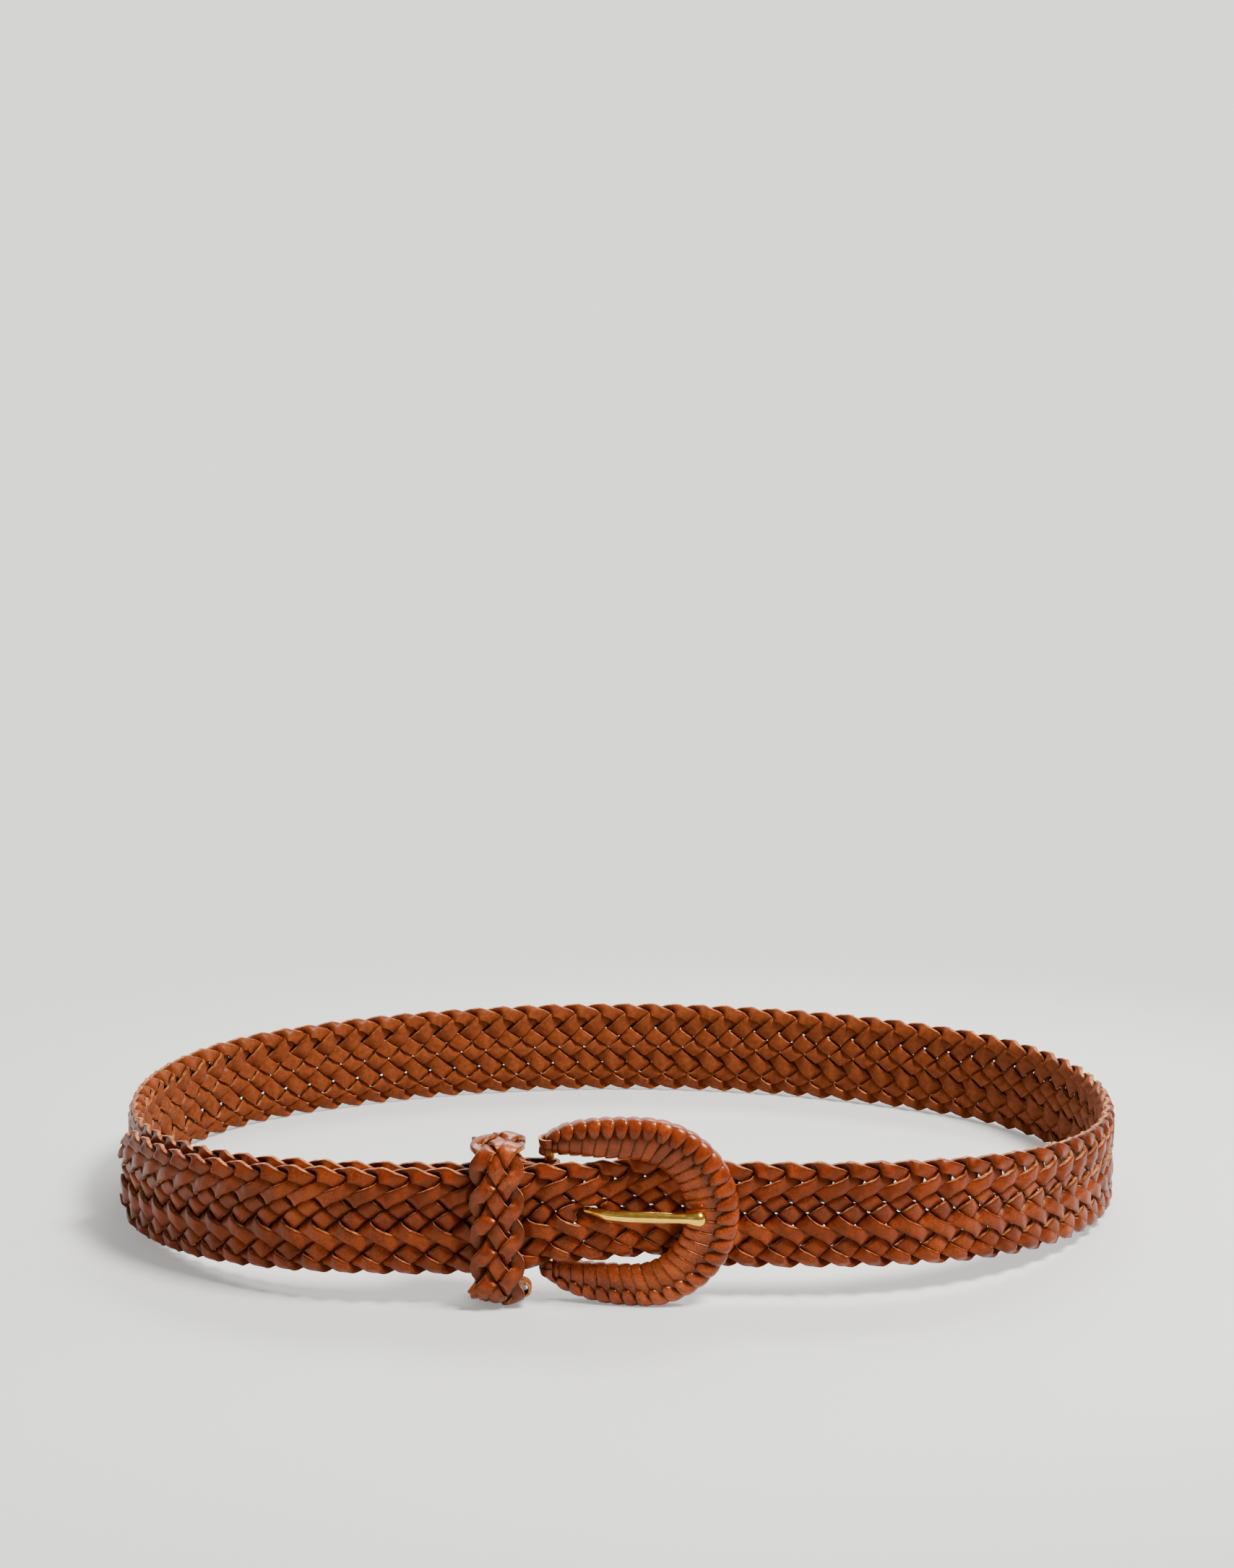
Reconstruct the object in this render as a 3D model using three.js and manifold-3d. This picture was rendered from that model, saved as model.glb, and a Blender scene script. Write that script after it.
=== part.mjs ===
// Braided leather belt, buckled into a loop that stands on its edge: ten plaited laces, a folded
// chape, a lace-wrapped buckle with its prong, and a plaited keeper. Millimetres, +Z up, front
// towards -Y.
// The strap starts in the chape behind the front, runs left, round the back and home along the front,
// up through the buckle, over the heel bar, through the keeper and on to its free tip.
import * as THREE from "three";
import { mergeVertices } from "three/addons/utils/BufferGeometryUtils.js";
import Module from "manifold-3d";

const wasm = await Module();
wasm.setup();

// ---- Driving dimensions: the loop in plan ----
const FRONT_HALF_LENGTH = 62; // straight run on each side of the middle of the front
const CORNER_RADIUS = 105;
const SHOULDER_RADIUS = 88;
const SHOULDER_TURN = Math.PI / 3;
const TIP_TURN = THREE.MathUtils.degToRad(68); // how far the free end follows the left corner

// ---- Driving dimensions: the braid ----
const BELT_WIDTH = 35;
const LACE_COUNT = 10;
const SCALLOP_PITCH = 9.65;
const LACE_THICKNESS = 1.7;
const LACE_GAP = 0.34; // between neighbouring laces of one face
const LAYER_GAP = 0.24; // between laces that cross
const TIP_TAPER_LENGTH = 14;
const TIP_TAPER = 0.62;
const TIP_STEPS = 5;
const BUCKLE_SQUEEZE = 0.94; // how far the braid narrows inside the buckle

// ---- Driving dimensions: the buckle ----
const BAR_X = -22.2;
const BAR_RADIUS = 1.6;
const RAMP_SETBACK = 11.6; // the strap starts to climb this far before the round side ...
const RAMP_END_X = -14; // ... and is in front of the heel bar from here on
const EYE_X = -10.5; // where the prong comes through the braid
const BUCKLE_BAND = 12.6; // radial width of the wrapped band above and below the opening
const BUCKLE_SIDE_BAND = 15.8; // the same at the round side
const BUCKLE_THICKNESS = 6.4;
const BUCKLE_REACH = 41.8; // from the heel bar to the far side of the opening
const WRAP_TURNS = 32;
const WRAP_COVER = 1.9; // lace thickness over the core's edges
const CORE_THICKNESS = 2.4;
const CORE_NECK = 1.3; // half width of the core where it meets the heel bar
const PRONG_RADIUS = 1.5;
const PRONG_SLIM_RADIUS = 1.1;
const PRONG_BALL_RADIUS = 2.2;
const PRONG_OVERHANG = 6.1; // how far the ball reaches past the opening's far side
const SLOT_HALF_LENGTH = 8.5; // the eye that the prong opens in the braid
const SLOT_HALF_HEIGHT = 2.3;
const SLOT_SPREAD = 3.4; // the braid is disturbed this many times further out than the eye
const SLOT_SLIMMING = 0.4; // how narrow a lace bunches up beside the eye
const SLOT_STEP = 2.2;

// ---- Driving dimensions: chape and keeper ----
const CHAPE_THICKNESS = 1.1;
const CHAPE_SETBACK = 3; // of the chape's edges behind the braid's
const CHAPE_LENGTH = 22;
const CHAPE_SLOT_HALF_HEIGHT = 3.1;
const CHAPE_SLOT_LENGTH = 9;
const THREAD_RADIUS = 0.4;
const KEEPER_X = -38;
const KEEPER_LACE_COUNT = 4;
const KEEPER_WIDTH = 16.7;
const KEEPER_PITCH = 10.2;
const KEEPER_CORNER_RADIUS = 6.6;
const KEEPER_HEIGHT_PLAY = 3.2; // between the belt's top edge and the keeper
const KEEPER_FLOOR_PLAY = 5.6; // between the belt's bottom edge and the keeper
const TIE_WIDTH = 4.6;
const TIE_OVERHANG = 2;

// ---- Clearances ----
const CLEAR = 0.35;
const SLIDE_CLEAR = 0.55;

// ---- Sizes that follow ----
const LAYER_OFFSET = (LACE_THICKNESS + LAYER_GAP) / 2;
const BRAID_HALF_THICKNESS = LAYER_OFFSET + LACE_THICKNESS / 2;
const CHAPE_INNER = BRAID_HALF_THICKNESS + CLEAR;
const CHAPE_OUTER = CHAPE_INNER + CHAPE_THICKNESS;
const OVERLAP_OFFSET = CHAPE_OUTER + CLEAR + BRAID_HALF_THICKNESS + 0.3;
const OPENING_HALF_HEIGHT = (BELT_WIDTH * BUCKLE_SQUEEZE) / 2 + 0.5;
const BUCKLE_HALF_HEIGHT = OPENING_HALF_HEIGHT + BUCKLE_BAND;
const BUCKLE_CENTRE_Z = BUCKLE_HALF_HEIGHT;
const OPENING_END_X = BAR_X + BUCKLE_REACH;
const RAMP_START_X = OPENING_END_X - RAMP_SETBACK;
const PRONG_TIP_X = OPENING_END_X + PRONG_OVERHANG;
const CHAPE_HEIGHT = BELT_WIDTH - 2 * CHAPE_SETBACK;
const BUCKLE_BOW = BUCKLE_THICKNESS / 2 + BRAID_HALF_THICKNESS + 3 * CLEAR;
const KEEPER_HALF_THICKNESS = BRAID_HALF_THICKNESS;
const FRONT_CENTRE_Z = 2 * KEEPER_HALF_THICKNESS + KEEPER_FLOOR_PLAY + BELT_WIDTH / 2;
const FLOOR_CENTRE_Z = BELT_WIDTH / 2;
const BRAID_START_X = BAR_X - BAR_RADIUS - CLEAR - 3.2;

// ---- Materials ----
function finish(name, color, roughness, metalness = 0) {
  return new THREE.MeshStandardMaterial({ name, color, roughness, metalness });
}

const leather = (name) => finish(name, 0x9c4a20, 0.45);
const brass = () => finish("brass", 0xd9b45a, 0.15, 1);
const thread = () => finish("thread", 0x8a4a26, 0.8);

// ---- Solids ----
function solidOf(geometry) {
  const bare = geometry.clone();
  bare.deleteAttribute("normal");
  bare.deleteAttribute("uv");
  const merged = mergeVertices(bare, 1e-4);
  return new wasm.Manifold(
    new wasm.Mesh({
      numProp: 3,
      vertProperties: merged.attributes.position.array,
      triVerts: new Uint32Array(merged.index.array),
    }),
  );
}

function geometryOf(solid) {
  const mesh = solid.getMesh();
  const geometry = new THREE.BufferGeometry();
  geometry.setAttribute("position", new THREE.BufferAttribute(mesh.vertProperties, 3));
  geometry.setIndex(new THREE.BufferAttribute(mesh.triVerts, 1));
  return geometry;
}

// A closed body through rings of points that all run the same way round. With closed, the last
// ring meets the first; otherwise both ends are capped.
function loft(rings, closed = false) {
  const count = rings[0].length;
  const positions = rings.flat().flatMap((p) => [p.x, p.y, p.z]);
  const index = [];
  const last = closed ? rings.length : rings.length - 1;
  for (let i = 0; i < last; i++) {
    const a = i * count;
    const b = ((i + 1) % rings.length) * count;
    for (let j = 0; j < count; j++) {
      const k = (j + 1) % count;
      index.push(a + j, a + k, b + k, a + j, b + k, b + j);
    }
  }
  if (!closed) {
    const end = (rings.length - 1) * count;
    for (let j = 1; j < count - 1; j++) {
      index.push(0, j + 1, j, end, end + j, end + j + 1);
    }
  }
  const geometry = new THREE.BufferGeometry();
  geometry.setAttribute("position", new THREE.Float32BufferAttribute(positions, 3));
  geometry.setIndex(signedVolume(positions, index) < 0 ? index.reverse() : index);
  return geometry;
}

function signedVolume(positions, index) {
  const corner = (i) => new THREE.Vector3().fromArray(positions, 3 * i);
  let volume = 0;
  for (let i = 0; i < index.length; i += 3) {
    const [a, b, c] = [index[i], index[i + 1], index[i + 2]].map(corner);
    volume += a.dot(b.cross(c)) / 6;
  }
  return volume;
}

// ---- Routes: a braid's centre line as straight pieces, with what is across it and what is out of it ----
// A station has its point, the direction across the braid, and a width factor.
function makeRoute(stations, across, outOf) {
  const along = [0];
  for (let i = 1; i < stations.length; i++) {
    const step = stations[i].point.clone().sub(stations[i - 1].point).projectOnPlane(across);
    along.push(along[i - 1] + step.length());
  }
  const normals = stations.map((station, i) => {
    const before = stations[Math.max(i, 1) - 1].point;
    const here = station.point;
    const after = stations[Math.min(i, stations.length - 2) + 1].point;
    const arriving = i ? here.clone().sub(before) : after.clone().sub(here);
    const leaving = after === here ? arriving.clone() : after.clone().sub(here);
    arriving.projectOnPlane(across).normalize();
    leaving.projectOnPlane(across).normalize();
    const middle = arriving.clone().add(leaving).normalize();
    return outOf(middle).divideScalar(middle.dot(arriving));
  });
  return { stations, across, along, normals, length: along[along.length - 1] };
}

// The point at a distance s along the route, w across it and h out of it.
function place(route, s, w, h) {
  const { stations, along, normals, across } = route;
  let i = 1;
  while (i < along.length - 1 && along[i] < s) i++;
  const t = (s - along[i - 1]) / (along[i] - along[i - 1]);
  const at = (j) =>
    stations[j].point
      .clone()
      .addScaledVector(across, w * stations[j].scale)
      .addScaledVector(normals[j], h);
  return at(i - 1).lerp(at(i), t);
}

// ---- Braids ----
// Each lace runs down across the outer face and back up across the inner one, turning at the two
// edges, and every edge turn is one scallop. A lace is diamond-shaped in section, so laces pass
// each other on the slant.
function braidShape(count, pitch, width) {
  const reach = (width + LACE_GAP) / (2 + 4 / count);
  const halfHeight = (2 * reach) / count - LACE_GAP / 2;
  return { count, pitch, reach, halfHeight, half: (count * pitch) / 2 };
}

function laceAt(shape, s) {
  const cycle = 2 * shape.half;
  const u = THREE.MathUtils.euclideanModulo(s, cycle);
  const down = u < shape.half;
  const v = down ? u : u - shape.half;
  const rise = Math.min(1, v / (shape.pitch / 2), (shape.half - v) / (shape.pitch / 2));
  const w = shape.reach * (1 - (2 * v) / shape.half);
  return { w: down ? w : -w, h: (down ? 1 : -1) * LAYER_OFFSET * rise };
}

function lace(shape, route, phase, warp = null) {
  const turnStops = [0, shape.pitch / 2, shape.half - shape.pitch / 2];
  const stops = [0, route.length, ...route.along];
  const firstTurn = Math.floor(-phase / shape.half) - 1;
  const lastTurn = Math.ceil((route.length - phase) / shape.half);
  for (let turn = firstTurn; turn <= lastTurn; turn++) {
    stops.push(...turnStops.map((stop) => phase + turn * shape.half + stop));
  }
  if (warp) stops.push(...warp.stops.filter((s) => Math.abs(laceAt(shape, s - phase).w) < warp.reach));
  const sorted = stops.filter((s) => s >= 0 && s <= route.length).sort((a, b) => a - b);
  const kept = sorted.filter((s, i) => i === 0 || s - sorted[i - 1] > 0.05);
  const rings = kept.map((s) => {
    const { w, h } = laceAt(shape, s - phase);
    const moved = warp ? warp.move(s, w) : { s, w, slim: 1 };
    const half = LACE_THICKNESS / 2;
    const side = shape.halfHeight * moved.slim;
    const corners = [
      [0, half],
      [side, 0],
      [0, -half],
      [-side, 0],
    ];
    return corners.map(([across, out]) => place(route, moved.s, moved.w + across, h + out));
  });
  return loft(rings);
}

// ---- The strap ----
// Walks the centre line clockwise as seen from above; heights and width factors ease from move to move.
function strapRoute() {
  const shoulderReach = SHOULDER_RADIUS * (1 - Math.cos(SHOULDER_TURN));
  const backRadius =
    (FRONT_HALF_LENGTH + CORNER_RADIUS - shoulderReach) / Math.cos(SHOULDER_TURN);
  const backTurn = Math.PI - 2 * SHOULDER_TURN;
  const buckleEnds = { z: BUCKLE_CENTRE_Z, scale: BUCKLE_SQUEEZE };
  const front = { z: FRONT_CENTRE_Z, scale: 1 };
  const floor = { z: FLOOR_CENTRE_Z, scale: 1 };
  const start = new THREE.Vector3(BRAID_START_X, 0, buckleEnds.z);
  const stations = [{ point: start, scale: buckleEnds.scale }];
  let heading = Math.PI;

  const last = () => stations[stations.length - 1];
  const lineTo = (x, y, { z, scale }) => {
    stations.push({ point: new THREE.Vector3(x, y, z), scale });
  };
  const turn = (radius, angle, steps, { z, scale }) => {
    const from = last();
    const centreX = from.point.x + radius * Math.sin(heading);
    const centreY = from.point.y - radius * Math.cos(heading);
    for (let i = 1; i <= steps; i++) {
      const to = heading - (angle * i) / steps;
      const ease = THREE.MathUtils.smoothstep(i / steps, 0, 1);
      const height = THREE.MathUtils.lerp(from.point.z, z, ease);
      const x = centreX - radius * Math.sin(to);
      const y = centreY + radius * Math.cos(to);
      lineTo(x, y, { z: height, scale: THREE.MathUtils.lerp(from.scale, scale, i / steps) });
    }
    heading -= angle;
  };

  lineTo(KEEPER_X - KEEPER_WIDTH / 4, 0, front);
  lineTo(-FRONT_HALF_LENGTH, 0, front);
  turn(CORNER_RADIUS, Math.PI / 2, 8, floor);
  turn(SHOULDER_RADIUS, SHOULDER_TURN, 4, floor);
  turn(backRadius, backTurn, 6, floor);
  turn(SHOULDER_RADIUS, SHOULDER_TURN, 4, floor);
  turn(CORNER_RADIUS, Math.PI / 2, 8, front);
  heading = Math.PI;
  lineTo(OPENING_END_X + BUCKLE_SIDE_BAND + 2, 0, front);
  lineTo(RAMP_START_X + 4, 0, buckleEnds);
  lineTo(RAMP_START_X, 0, buckleEnds);
  lineTo(RAMP_END_X, -OVERLAP_OFFSET, buckleEnds);
  lineTo(BAR_X + 2, -OVERLAP_OFFSET, buckleEnds);
  lineTo(KEEPER_X + KEEPER_WIDTH / 4, -OVERLAP_OFFSET, front);
  lineTo(-FRONT_HALF_LENGTH, -OVERLAP_OFFSET, front);
  turn(CORNER_RADIUS + OVERLAP_OFFSET, TIP_TURN, 6, floor);
  last().point.z = THREE.MathUtils.lerp(front.z, floor.z, 0.8);

  const end = last().point.clone();
  const before = stations[stations.length - 2].point;
  last().point.lerp(before, TIP_TAPER_LENGTH / end.distanceTo(before));
  const taperStart = last().point.clone();
  for (let i = 1; i <= TIP_STEPS; i++) {
    const share = i / TIP_STEPS;
    const point = taperStart.clone().lerp(end, share);
    stations.push({ point, scale: 1 - (1 - TIP_TAPER) * share ** 2 });
  }
  return makeRoute(stations, new THREE.Vector3(0, 0, 1), (d) => new THREE.Vector3(-d.y, d.x, 0));
}

// Where the prong passes: the laces there are pushed aside round a long eye.
function prongEye(route) {
  const ramp = route.stations.findIndex((station) => station.point.x === RAMP_END_X);
  const share = (EYE_X - RAMP_START_X) / (RAMP_END_X - RAMP_START_X);
  const centre = THREE.MathUtils.lerp(route.along[ramp - 1], route.along[ramp], share);
  const spread = (SLOT_SPREAD + 1) * SLOT_HALF_LENGTH;
  const stops = [];
  for (let s = centre - spread; s <= centre + spread; s += SLOT_STEP) stops.push(s);
  const move = (s, w) => {
    const r = Math.hypot((s - centre) / SLOT_HALF_LENGTH, w / SLOT_HALF_HEIGHT);
    const away = THREE.MathUtils.smoothstep(r, 1.1, SLOT_SPREAD + 1.8);
    const slim = THREE.MathUtils.lerp(SLOT_SLIMMING, 1, away);
    if (r >= SLOT_SPREAD) return { s, w, slim };
    const grow = 1 / r + (SLOT_SPREAD - 1) / SLOT_SPREAD;
    return { s: centre + (s - centre) * grow, w: w * grow, slim };
  };
  return { centre, stops, move, reach: (SLOT_SPREAD + 1) * SLOT_HALF_HEIGHT };
}

function strapLaces() {
  const route = strapRoute();
  const eye = prongEye(route);
  const shape = braidShape(LACE_COUNT, SCALLOP_PITCH, BELT_WIDTH);
  const phase = eye.centre - (LACE_COUNT / 4 + 0.5) * SCALLOP_PITCH;
  return Array.from({ length: LACE_COUNT }, (_, i) =>
    named(
      `strap_lace_${String(i + 1).padStart(2, "0")}`,
      lace(shape, route, phase + i * SCALLOP_PITCH, eye),
      leather("strap_leather"),
    ),
  );
}

// ---- The buckle ----
// The buckle's own plan: u from the heel bar towards the round side, v up from its middle.
const OPENING_CENTRE_U = BUCKLE_REACH - OPENING_HALF_HEIGHT;
const OUTLINE_RADIUS = 29.4; // of the round side's outer outline, along u
const OUTLINE_CENTRE_U = BUCKLE_REACH + BUCKLE_SIDE_BAND - OUTLINE_RADIUS;
const ARM_END_U = 4; // where the arms' wrapping stops short of the heel bar
const ARM_LENGTH = OUTLINE_CENTRE_U - ARM_END_U + 0.6;
const OUTLINE_ARM_REACH = ARM_LENGTH + 8.2; // where the arms' outline would come down to the middle
const ARC_SHARE = 0.62; // of the wrapped length, the rest is the two arms

// Inner and outer outline at t, from -1 at the lower arm's end through 0 at the round side to 1.
function buckleEdges(t) {
  const side = Math.sign(t) || 1;
  const away = Math.abs(t);
  if (away < ARC_SHARE) {
    const angle = (Math.PI / 2) * (away / ARC_SHARE);
    const [c, s] = [Math.cos(angle), side * Math.sin(angle)];
    return {
      inner: new THREE.Vector2(OPENING_CENTRE_U + OPENING_HALF_HEIGHT * c, OPENING_HALF_HEIGHT * s),
      outer: new THREE.Vector2(OUTLINE_CENTRE_U + OUTLINE_RADIUS * c, BUCKLE_HALF_HEIGHT * s),
    };
  }
  const back = (ARM_LENGTH * (away - ARC_SHARE)) / (1 - ARC_SHARE);
  const outerV = BUCKLE_HALF_HEIGHT * (1 - (back / OUTLINE_ARM_REACH) ** 2.5) ** 0.4;
  return {
    inner: new THREE.Vector2(
      THREE.MathUtils.lerp(OPENING_CENTRE_U, ARM_END_U, back / ARM_LENGTH),
      side * OPENING_HALF_HEIGHT,
    ),
    outer: new THREE.Vector2(OUTLINE_CENTRE_U - back, side * outerV),
  };
}

// How far the buckle stands out in front of the heel bar's plane.
function bow(u) {
  return BUCKLE_BOW * Math.sin((Math.PI / 2) * THREE.MathUtils.clamp(u / (BUCKLE_REACH - 6), 0, 1));
}

function bucklePoint(u, v, out) {
  return new THREE.Vector3(BAR_X + u, -bow(u) - out, BUCKLE_CENTRE_Z + v);
}

function buckleRing(t, halfWidthOf, halfThickness, corners) {
  const { inner, outer } = buckleEdges(t);
  const middle = inner.clone().add(outer).multiplyScalar(0.5);
  const radial = outer.clone().sub(inner);
  const halfWidth = halfWidthOf(radial.length() / 2);
  radial.normalize();
  return corners.map(([a, b]) => {
    const p = middle.clone().addScaledVector(radial, a * halfWidth);
    return bucklePoint(p.x, p.y, b * halfThickness);
  });
}

const RECTANGLE = [
  [1, 1],
  [-1, 1],
  [-1, -1],
  [1, -1],
];

function neckRing(side) {
  const v = side * (OPENING_HALF_HEIGHT + 0.45 * BUCKLE_BAND / 2);
  return RECTANGLE.map(([a, b]) => bucklePoint(0, v + side * a * CORE_NECK, (b * CORE_THICKNESS) / 2));
}

function buckleFrame() {
  const steps = 36;
  const rings = [neckRing(-1)];
  for (let i = 0; i <= steps; i++) {
    rings.push(buckleRing(-1 + (2 * i) / steps, coreHalfWidth, CORE_THICKNESS / 2, RECTANGLE));
  }
  rings.push(neckRing(1));
  const barHalf = OPENING_HALF_HEIGHT + 0.45 * BUCKLE_BAND / 2 + CORE_NECK;
  const bar = new THREE.CylinderGeometry(BAR_RADIUS, BAR_RADIUS, 2 * barHalf, 12);
  bar.rotateX(Math.PI / 2).translate(BAR_X, 0, BUCKLE_CENTRE_Z);
  return geometryOf(solidOf(loft(rings)).add(solidOf(bar)));
}

function coreHalfWidth(half) {
  return half - WRAP_COVER;
}

// The lace that covers the frame: a sleeve with one ridge for each of its turns.
function buckleLace() {
  const steps = 2 * WRAP_TURNS;
  const octagon = Array.from({ length: 8 }, (_, k) => {
    const angle = ((k + 0.5) * Math.PI) / 4;
    return [Math.cos(angle) / Math.cos(Math.PI / 8), Math.sin(angle) / Math.sin((3 * Math.PI) / 8)];
  });
  const outer = [];
  for (let i = 0; i <= steps; i++) {
    const swell = i % 2 ? 1 : 0.94;
    const t = -1 + (2 * i) / steps;
    outer.push(buckleRing(t, (half) => half * swell, (swell * BUCKLE_THICKNESS) / 2, octagon));
  }
  const inner = [];
  const overrun = 1.03;
  for (let i = 0; i <= 36; i++) {
    const t = overrun * (-1 + (2 * i) / 36);
    inner.push(buckleRing(t, (half) => coreHalfWidth(half) + CLEAR, CORE_THICKNESS / 2 + CLEAR, RECTANGLE));
  }
  return geometryOf(solidOf(loft(outer)).subtract(solidOf(loft(inner))));
}

// The prong: an eye round the heel bar, a shank that climbs through the braid and lies on the round side.
function prong() {
  const restY = -(BUCKLE_BOW + BUCKLE_THICKNESS / 2 + CLEAR + PRONG_RADIUS);
  const eyeRadius = BAR_RADIUS + 0.25;
  const wire = 0.75;
  const innerFaceY = -OVERLAP_OFFSET + BRAID_HALF_THICKNESS;
  const spine = [
    [BAR_X + eyeRadius + wire - 0.2, -0.3, 0.8],
    [BAR_X + 6, -1.3, PRONG_SLIM_RADIUS],
    [RAMP_END_X + 0.4, innerFaceY + 1.5, PRONG_SLIM_RADIUS],
    [RAMP_END_X + 5, innerFaceY - 1, PRONG_SLIM_RADIUS],
    [RAMP_END_X + 9.5, restY * 0.72, PRONG_SLIM_RADIUS],
    [RAMP_END_X + 15, restY * 0.85, PRONG_RADIUS],
    [RAMP_END_X + 26, restY * 0.95, PRONG_RADIUS],
    [PRONG_TIP_X - 8, restY, PRONG_RADIUS],
    [PRONG_TIP_X - 4.4, restY - 0.5, PRONG_BALL_RADIUS * 0.9],
    [PRONG_TIP_X - 2.2, restY - 0.6, PRONG_BALL_RADIUS],
    [PRONG_TIP_X - 0.6, restY - 0.6, PRONG_BALL_RADIUS * 0.7],
    [PRONG_TIP_X, restY - 0.6, PRONG_BALL_RADIUS * 0.3],
  ];
  const sides = 8;
  const rings = spine.map(([x, y, radius], i) => {
    const before = spine[Math.max(i - 1, 0)];
    const after = spine[Math.min(i + 1, spine.length - 1)];
    const along = new THREE.Vector2(after[0] - before[0], after[1] - before[1]).normalize();
    return Array.from({ length: sides }, (_, k) => {
      const angle = (2 * Math.PI * (k + 0.5)) / sides;
      const out = radius * Math.cos(angle);
      const z = BUCKLE_CENTRE_Z + radius * Math.sin(angle);
      return new THREE.Vector3(x + along.y * out, y - along.x * out, z);
    });
  });
  const eye = new THREE.TorusGeometry(eyeRadius + wire, wire, 6, 16);
  eye.translate(BAR_X, 0, BUCKLE_CENTRE_Z);
  return geometryOf(solidOf(loft(rings)).add(solidOf(eye)));
}

// ---- The chape: leather folded round the heel bar with the braid's cut end between its legs ----
function chape() {
  const endX = BAR_X - CHAPE_LENGTH;
  const outline = new THREE.Shape();
  outline.moveTo(endX, -CHAPE_OUTER);
  outline.lineTo(BAR_X, -CHAPE_OUTER);
  outline.absarc(BAR_X, 0, CHAPE_OUTER, -Math.PI / 2, Math.PI / 2, false);
  outline.lineTo(endX, CHAPE_OUTER);
  outline.lineTo(endX, CHAPE_INNER);
  outline.lineTo(BAR_X, CHAPE_INNER);
  outline.absarc(BAR_X, 0, CHAPE_INNER, Math.PI / 2, -Math.PI / 2, true);
  outline.lineTo(endX, -CHAPE_INNER);
  outline.closePath();
  const folded = new THREE.ExtrudeGeometry(outline, {
    depth: CHAPE_HEIGHT,
    bevelEnabled: false,
    curveSegments: 10,
  });
  folded.translate(0, 0, BUCKLE_CENTRE_Z - CHAPE_HEIGHT / 2);
  const slotLength = CHAPE_SLOT_LENGTH + CHAPE_OUTER + 1;
  const slot = new THREE.BoxGeometry(slotLength, 3 * CHAPE_OUTER, 2 * CHAPE_SLOT_HALF_HEIGHT);
  slot.translate(BAR_X - CHAPE_SLOT_LENGTH + slotLength / 2, 0, BUCKLE_CENTRE_Z);
  return geometryOf(solidOf(folded).subtract(solidOf(slot)));
}

// The stitching's loop on the leg that faces the wearer.
function chapeThread() {
  const y = CHAPE_OUTER + 0.06 + THREAD_RADIUS;
  const left = BAR_X - CHAPE_LENGTH + 2.4;
  const right = BAR_X - CHAPE_SLOT_LENGTH - 2;
  const halfHeight = CHAPE_HEIGHT / 2 - 2.6;
  const corners = [
    [left, -halfHeight, -1, -1],
    [right, -halfHeight, 1, -1],
    [right, halfHeight, 1, 1],
    [left, halfHeight, -1, 1],
  ];
  const rings = corners.map(([x, v, sx, sz]) =>
    Array.from({ length: 6 }, (_, k) => {
      const angle = (Math.PI * k) / 3;
      const out = THREAD_RADIUS * Math.cos(angle);
      const z = BUCKLE_CENTRE_Z + v + sz * out;
      return new THREE.Vector3(x + sx * out, y + THREAD_RADIUS * Math.sin(angle), z);
    }),
  );
  return loft(rings, true);
}

// ---- The keeper ----
function keeperBox() {
  const half = KEEPER_HALF_THICKNESS;
  return {
    front: -(OVERLAP_OFFSET + BRAID_HALF_THICKNESS + SLIDE_CLEAR + half),
    back: CHAPE_OUTER + 2 * THREAD_RADIUS + SLIDE_CLEAR + half,
    bottom: half,
    top: FRONT_CENTRE_Z + BELT_WIDTH / 2 + KEEPER_HEIGHT_PLAY + half,
  };
}

// Once round the belt, from the middle of the bottom run out to the front, over the top and back.
function keeperRoute() {
  const { front, back, bottom, top } = keeperBox();
  const radius = KEEPER_CORNER_RADIUS;
  const stations = [];
  const add = (y, z) => stations.push({ point: new THREE.Vector3(KEEPER_X, y, z), scale: 1 });
  const corner = (cy, cz, from) => {
    for (let i = 0; i <= 4; i++) {
      const angle = from - (i * Math.PI) / 8;
      add(cy + radius * Math.cos(angle), cz + radius * Math.sin(angle));
    }
  };
  const seam = 0.4;
  const middle = (front + back) / 2;
  add(middle - seam / 2, bottom);
  corner(front + radius, bottom + radius, -Math.PI / 2);
  corner(front + radius, top - radius, Math.PI);
  corner(back - radius, top - radius, Math.PI / 2);
  corner(back - radius, bottom + radius, 0);
  add(middle + seam / 2, bottom);
  return makeRoute(stations, new THREE.Vector3(1, 0, 0), (d) => new THREE.Vector3(0, -d.z, d.y));
}

function keeperLaces() {
  const route = keeperRoute();
  const shape = braidShape(KEEPER_LACE_COUNT, KEEPER_PITCH, KEEPER_WIDTH);
  return Array.from({ length: KEEPER_LACE_COUNT }, (_, i) =>
    named(`keeper_lace_${i + 1}`, lace(shape, route, i * KEEPER_PITCH), leather("keeper_leather")),
  );
}

// The short lace that closes the keeper's ring lies along the seam, under the belt.
function keeperTie() {
  const length = KEEPER_WIDTH + 2 * TIE_OVERHANG;
  const tie = new THREE.BoxGeometry(length, TIE_WIDTH, LACE_THICKNESS);
  const { front, back } = keeperBox();
  const z = 2 * KEEPER_HALF_THICKNESS + CLEAR + LACE_THICKNESS / 2;
  tie.translate(KEEPER_X, (front + back) / 2, z);
  return tie;
}

// ---- The assembly ----
function named(name, geometry, material) {
  const mesh = new THREE.Mesh(geometry, material);
  mesh.name = name;
  return mesh;
}

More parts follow.
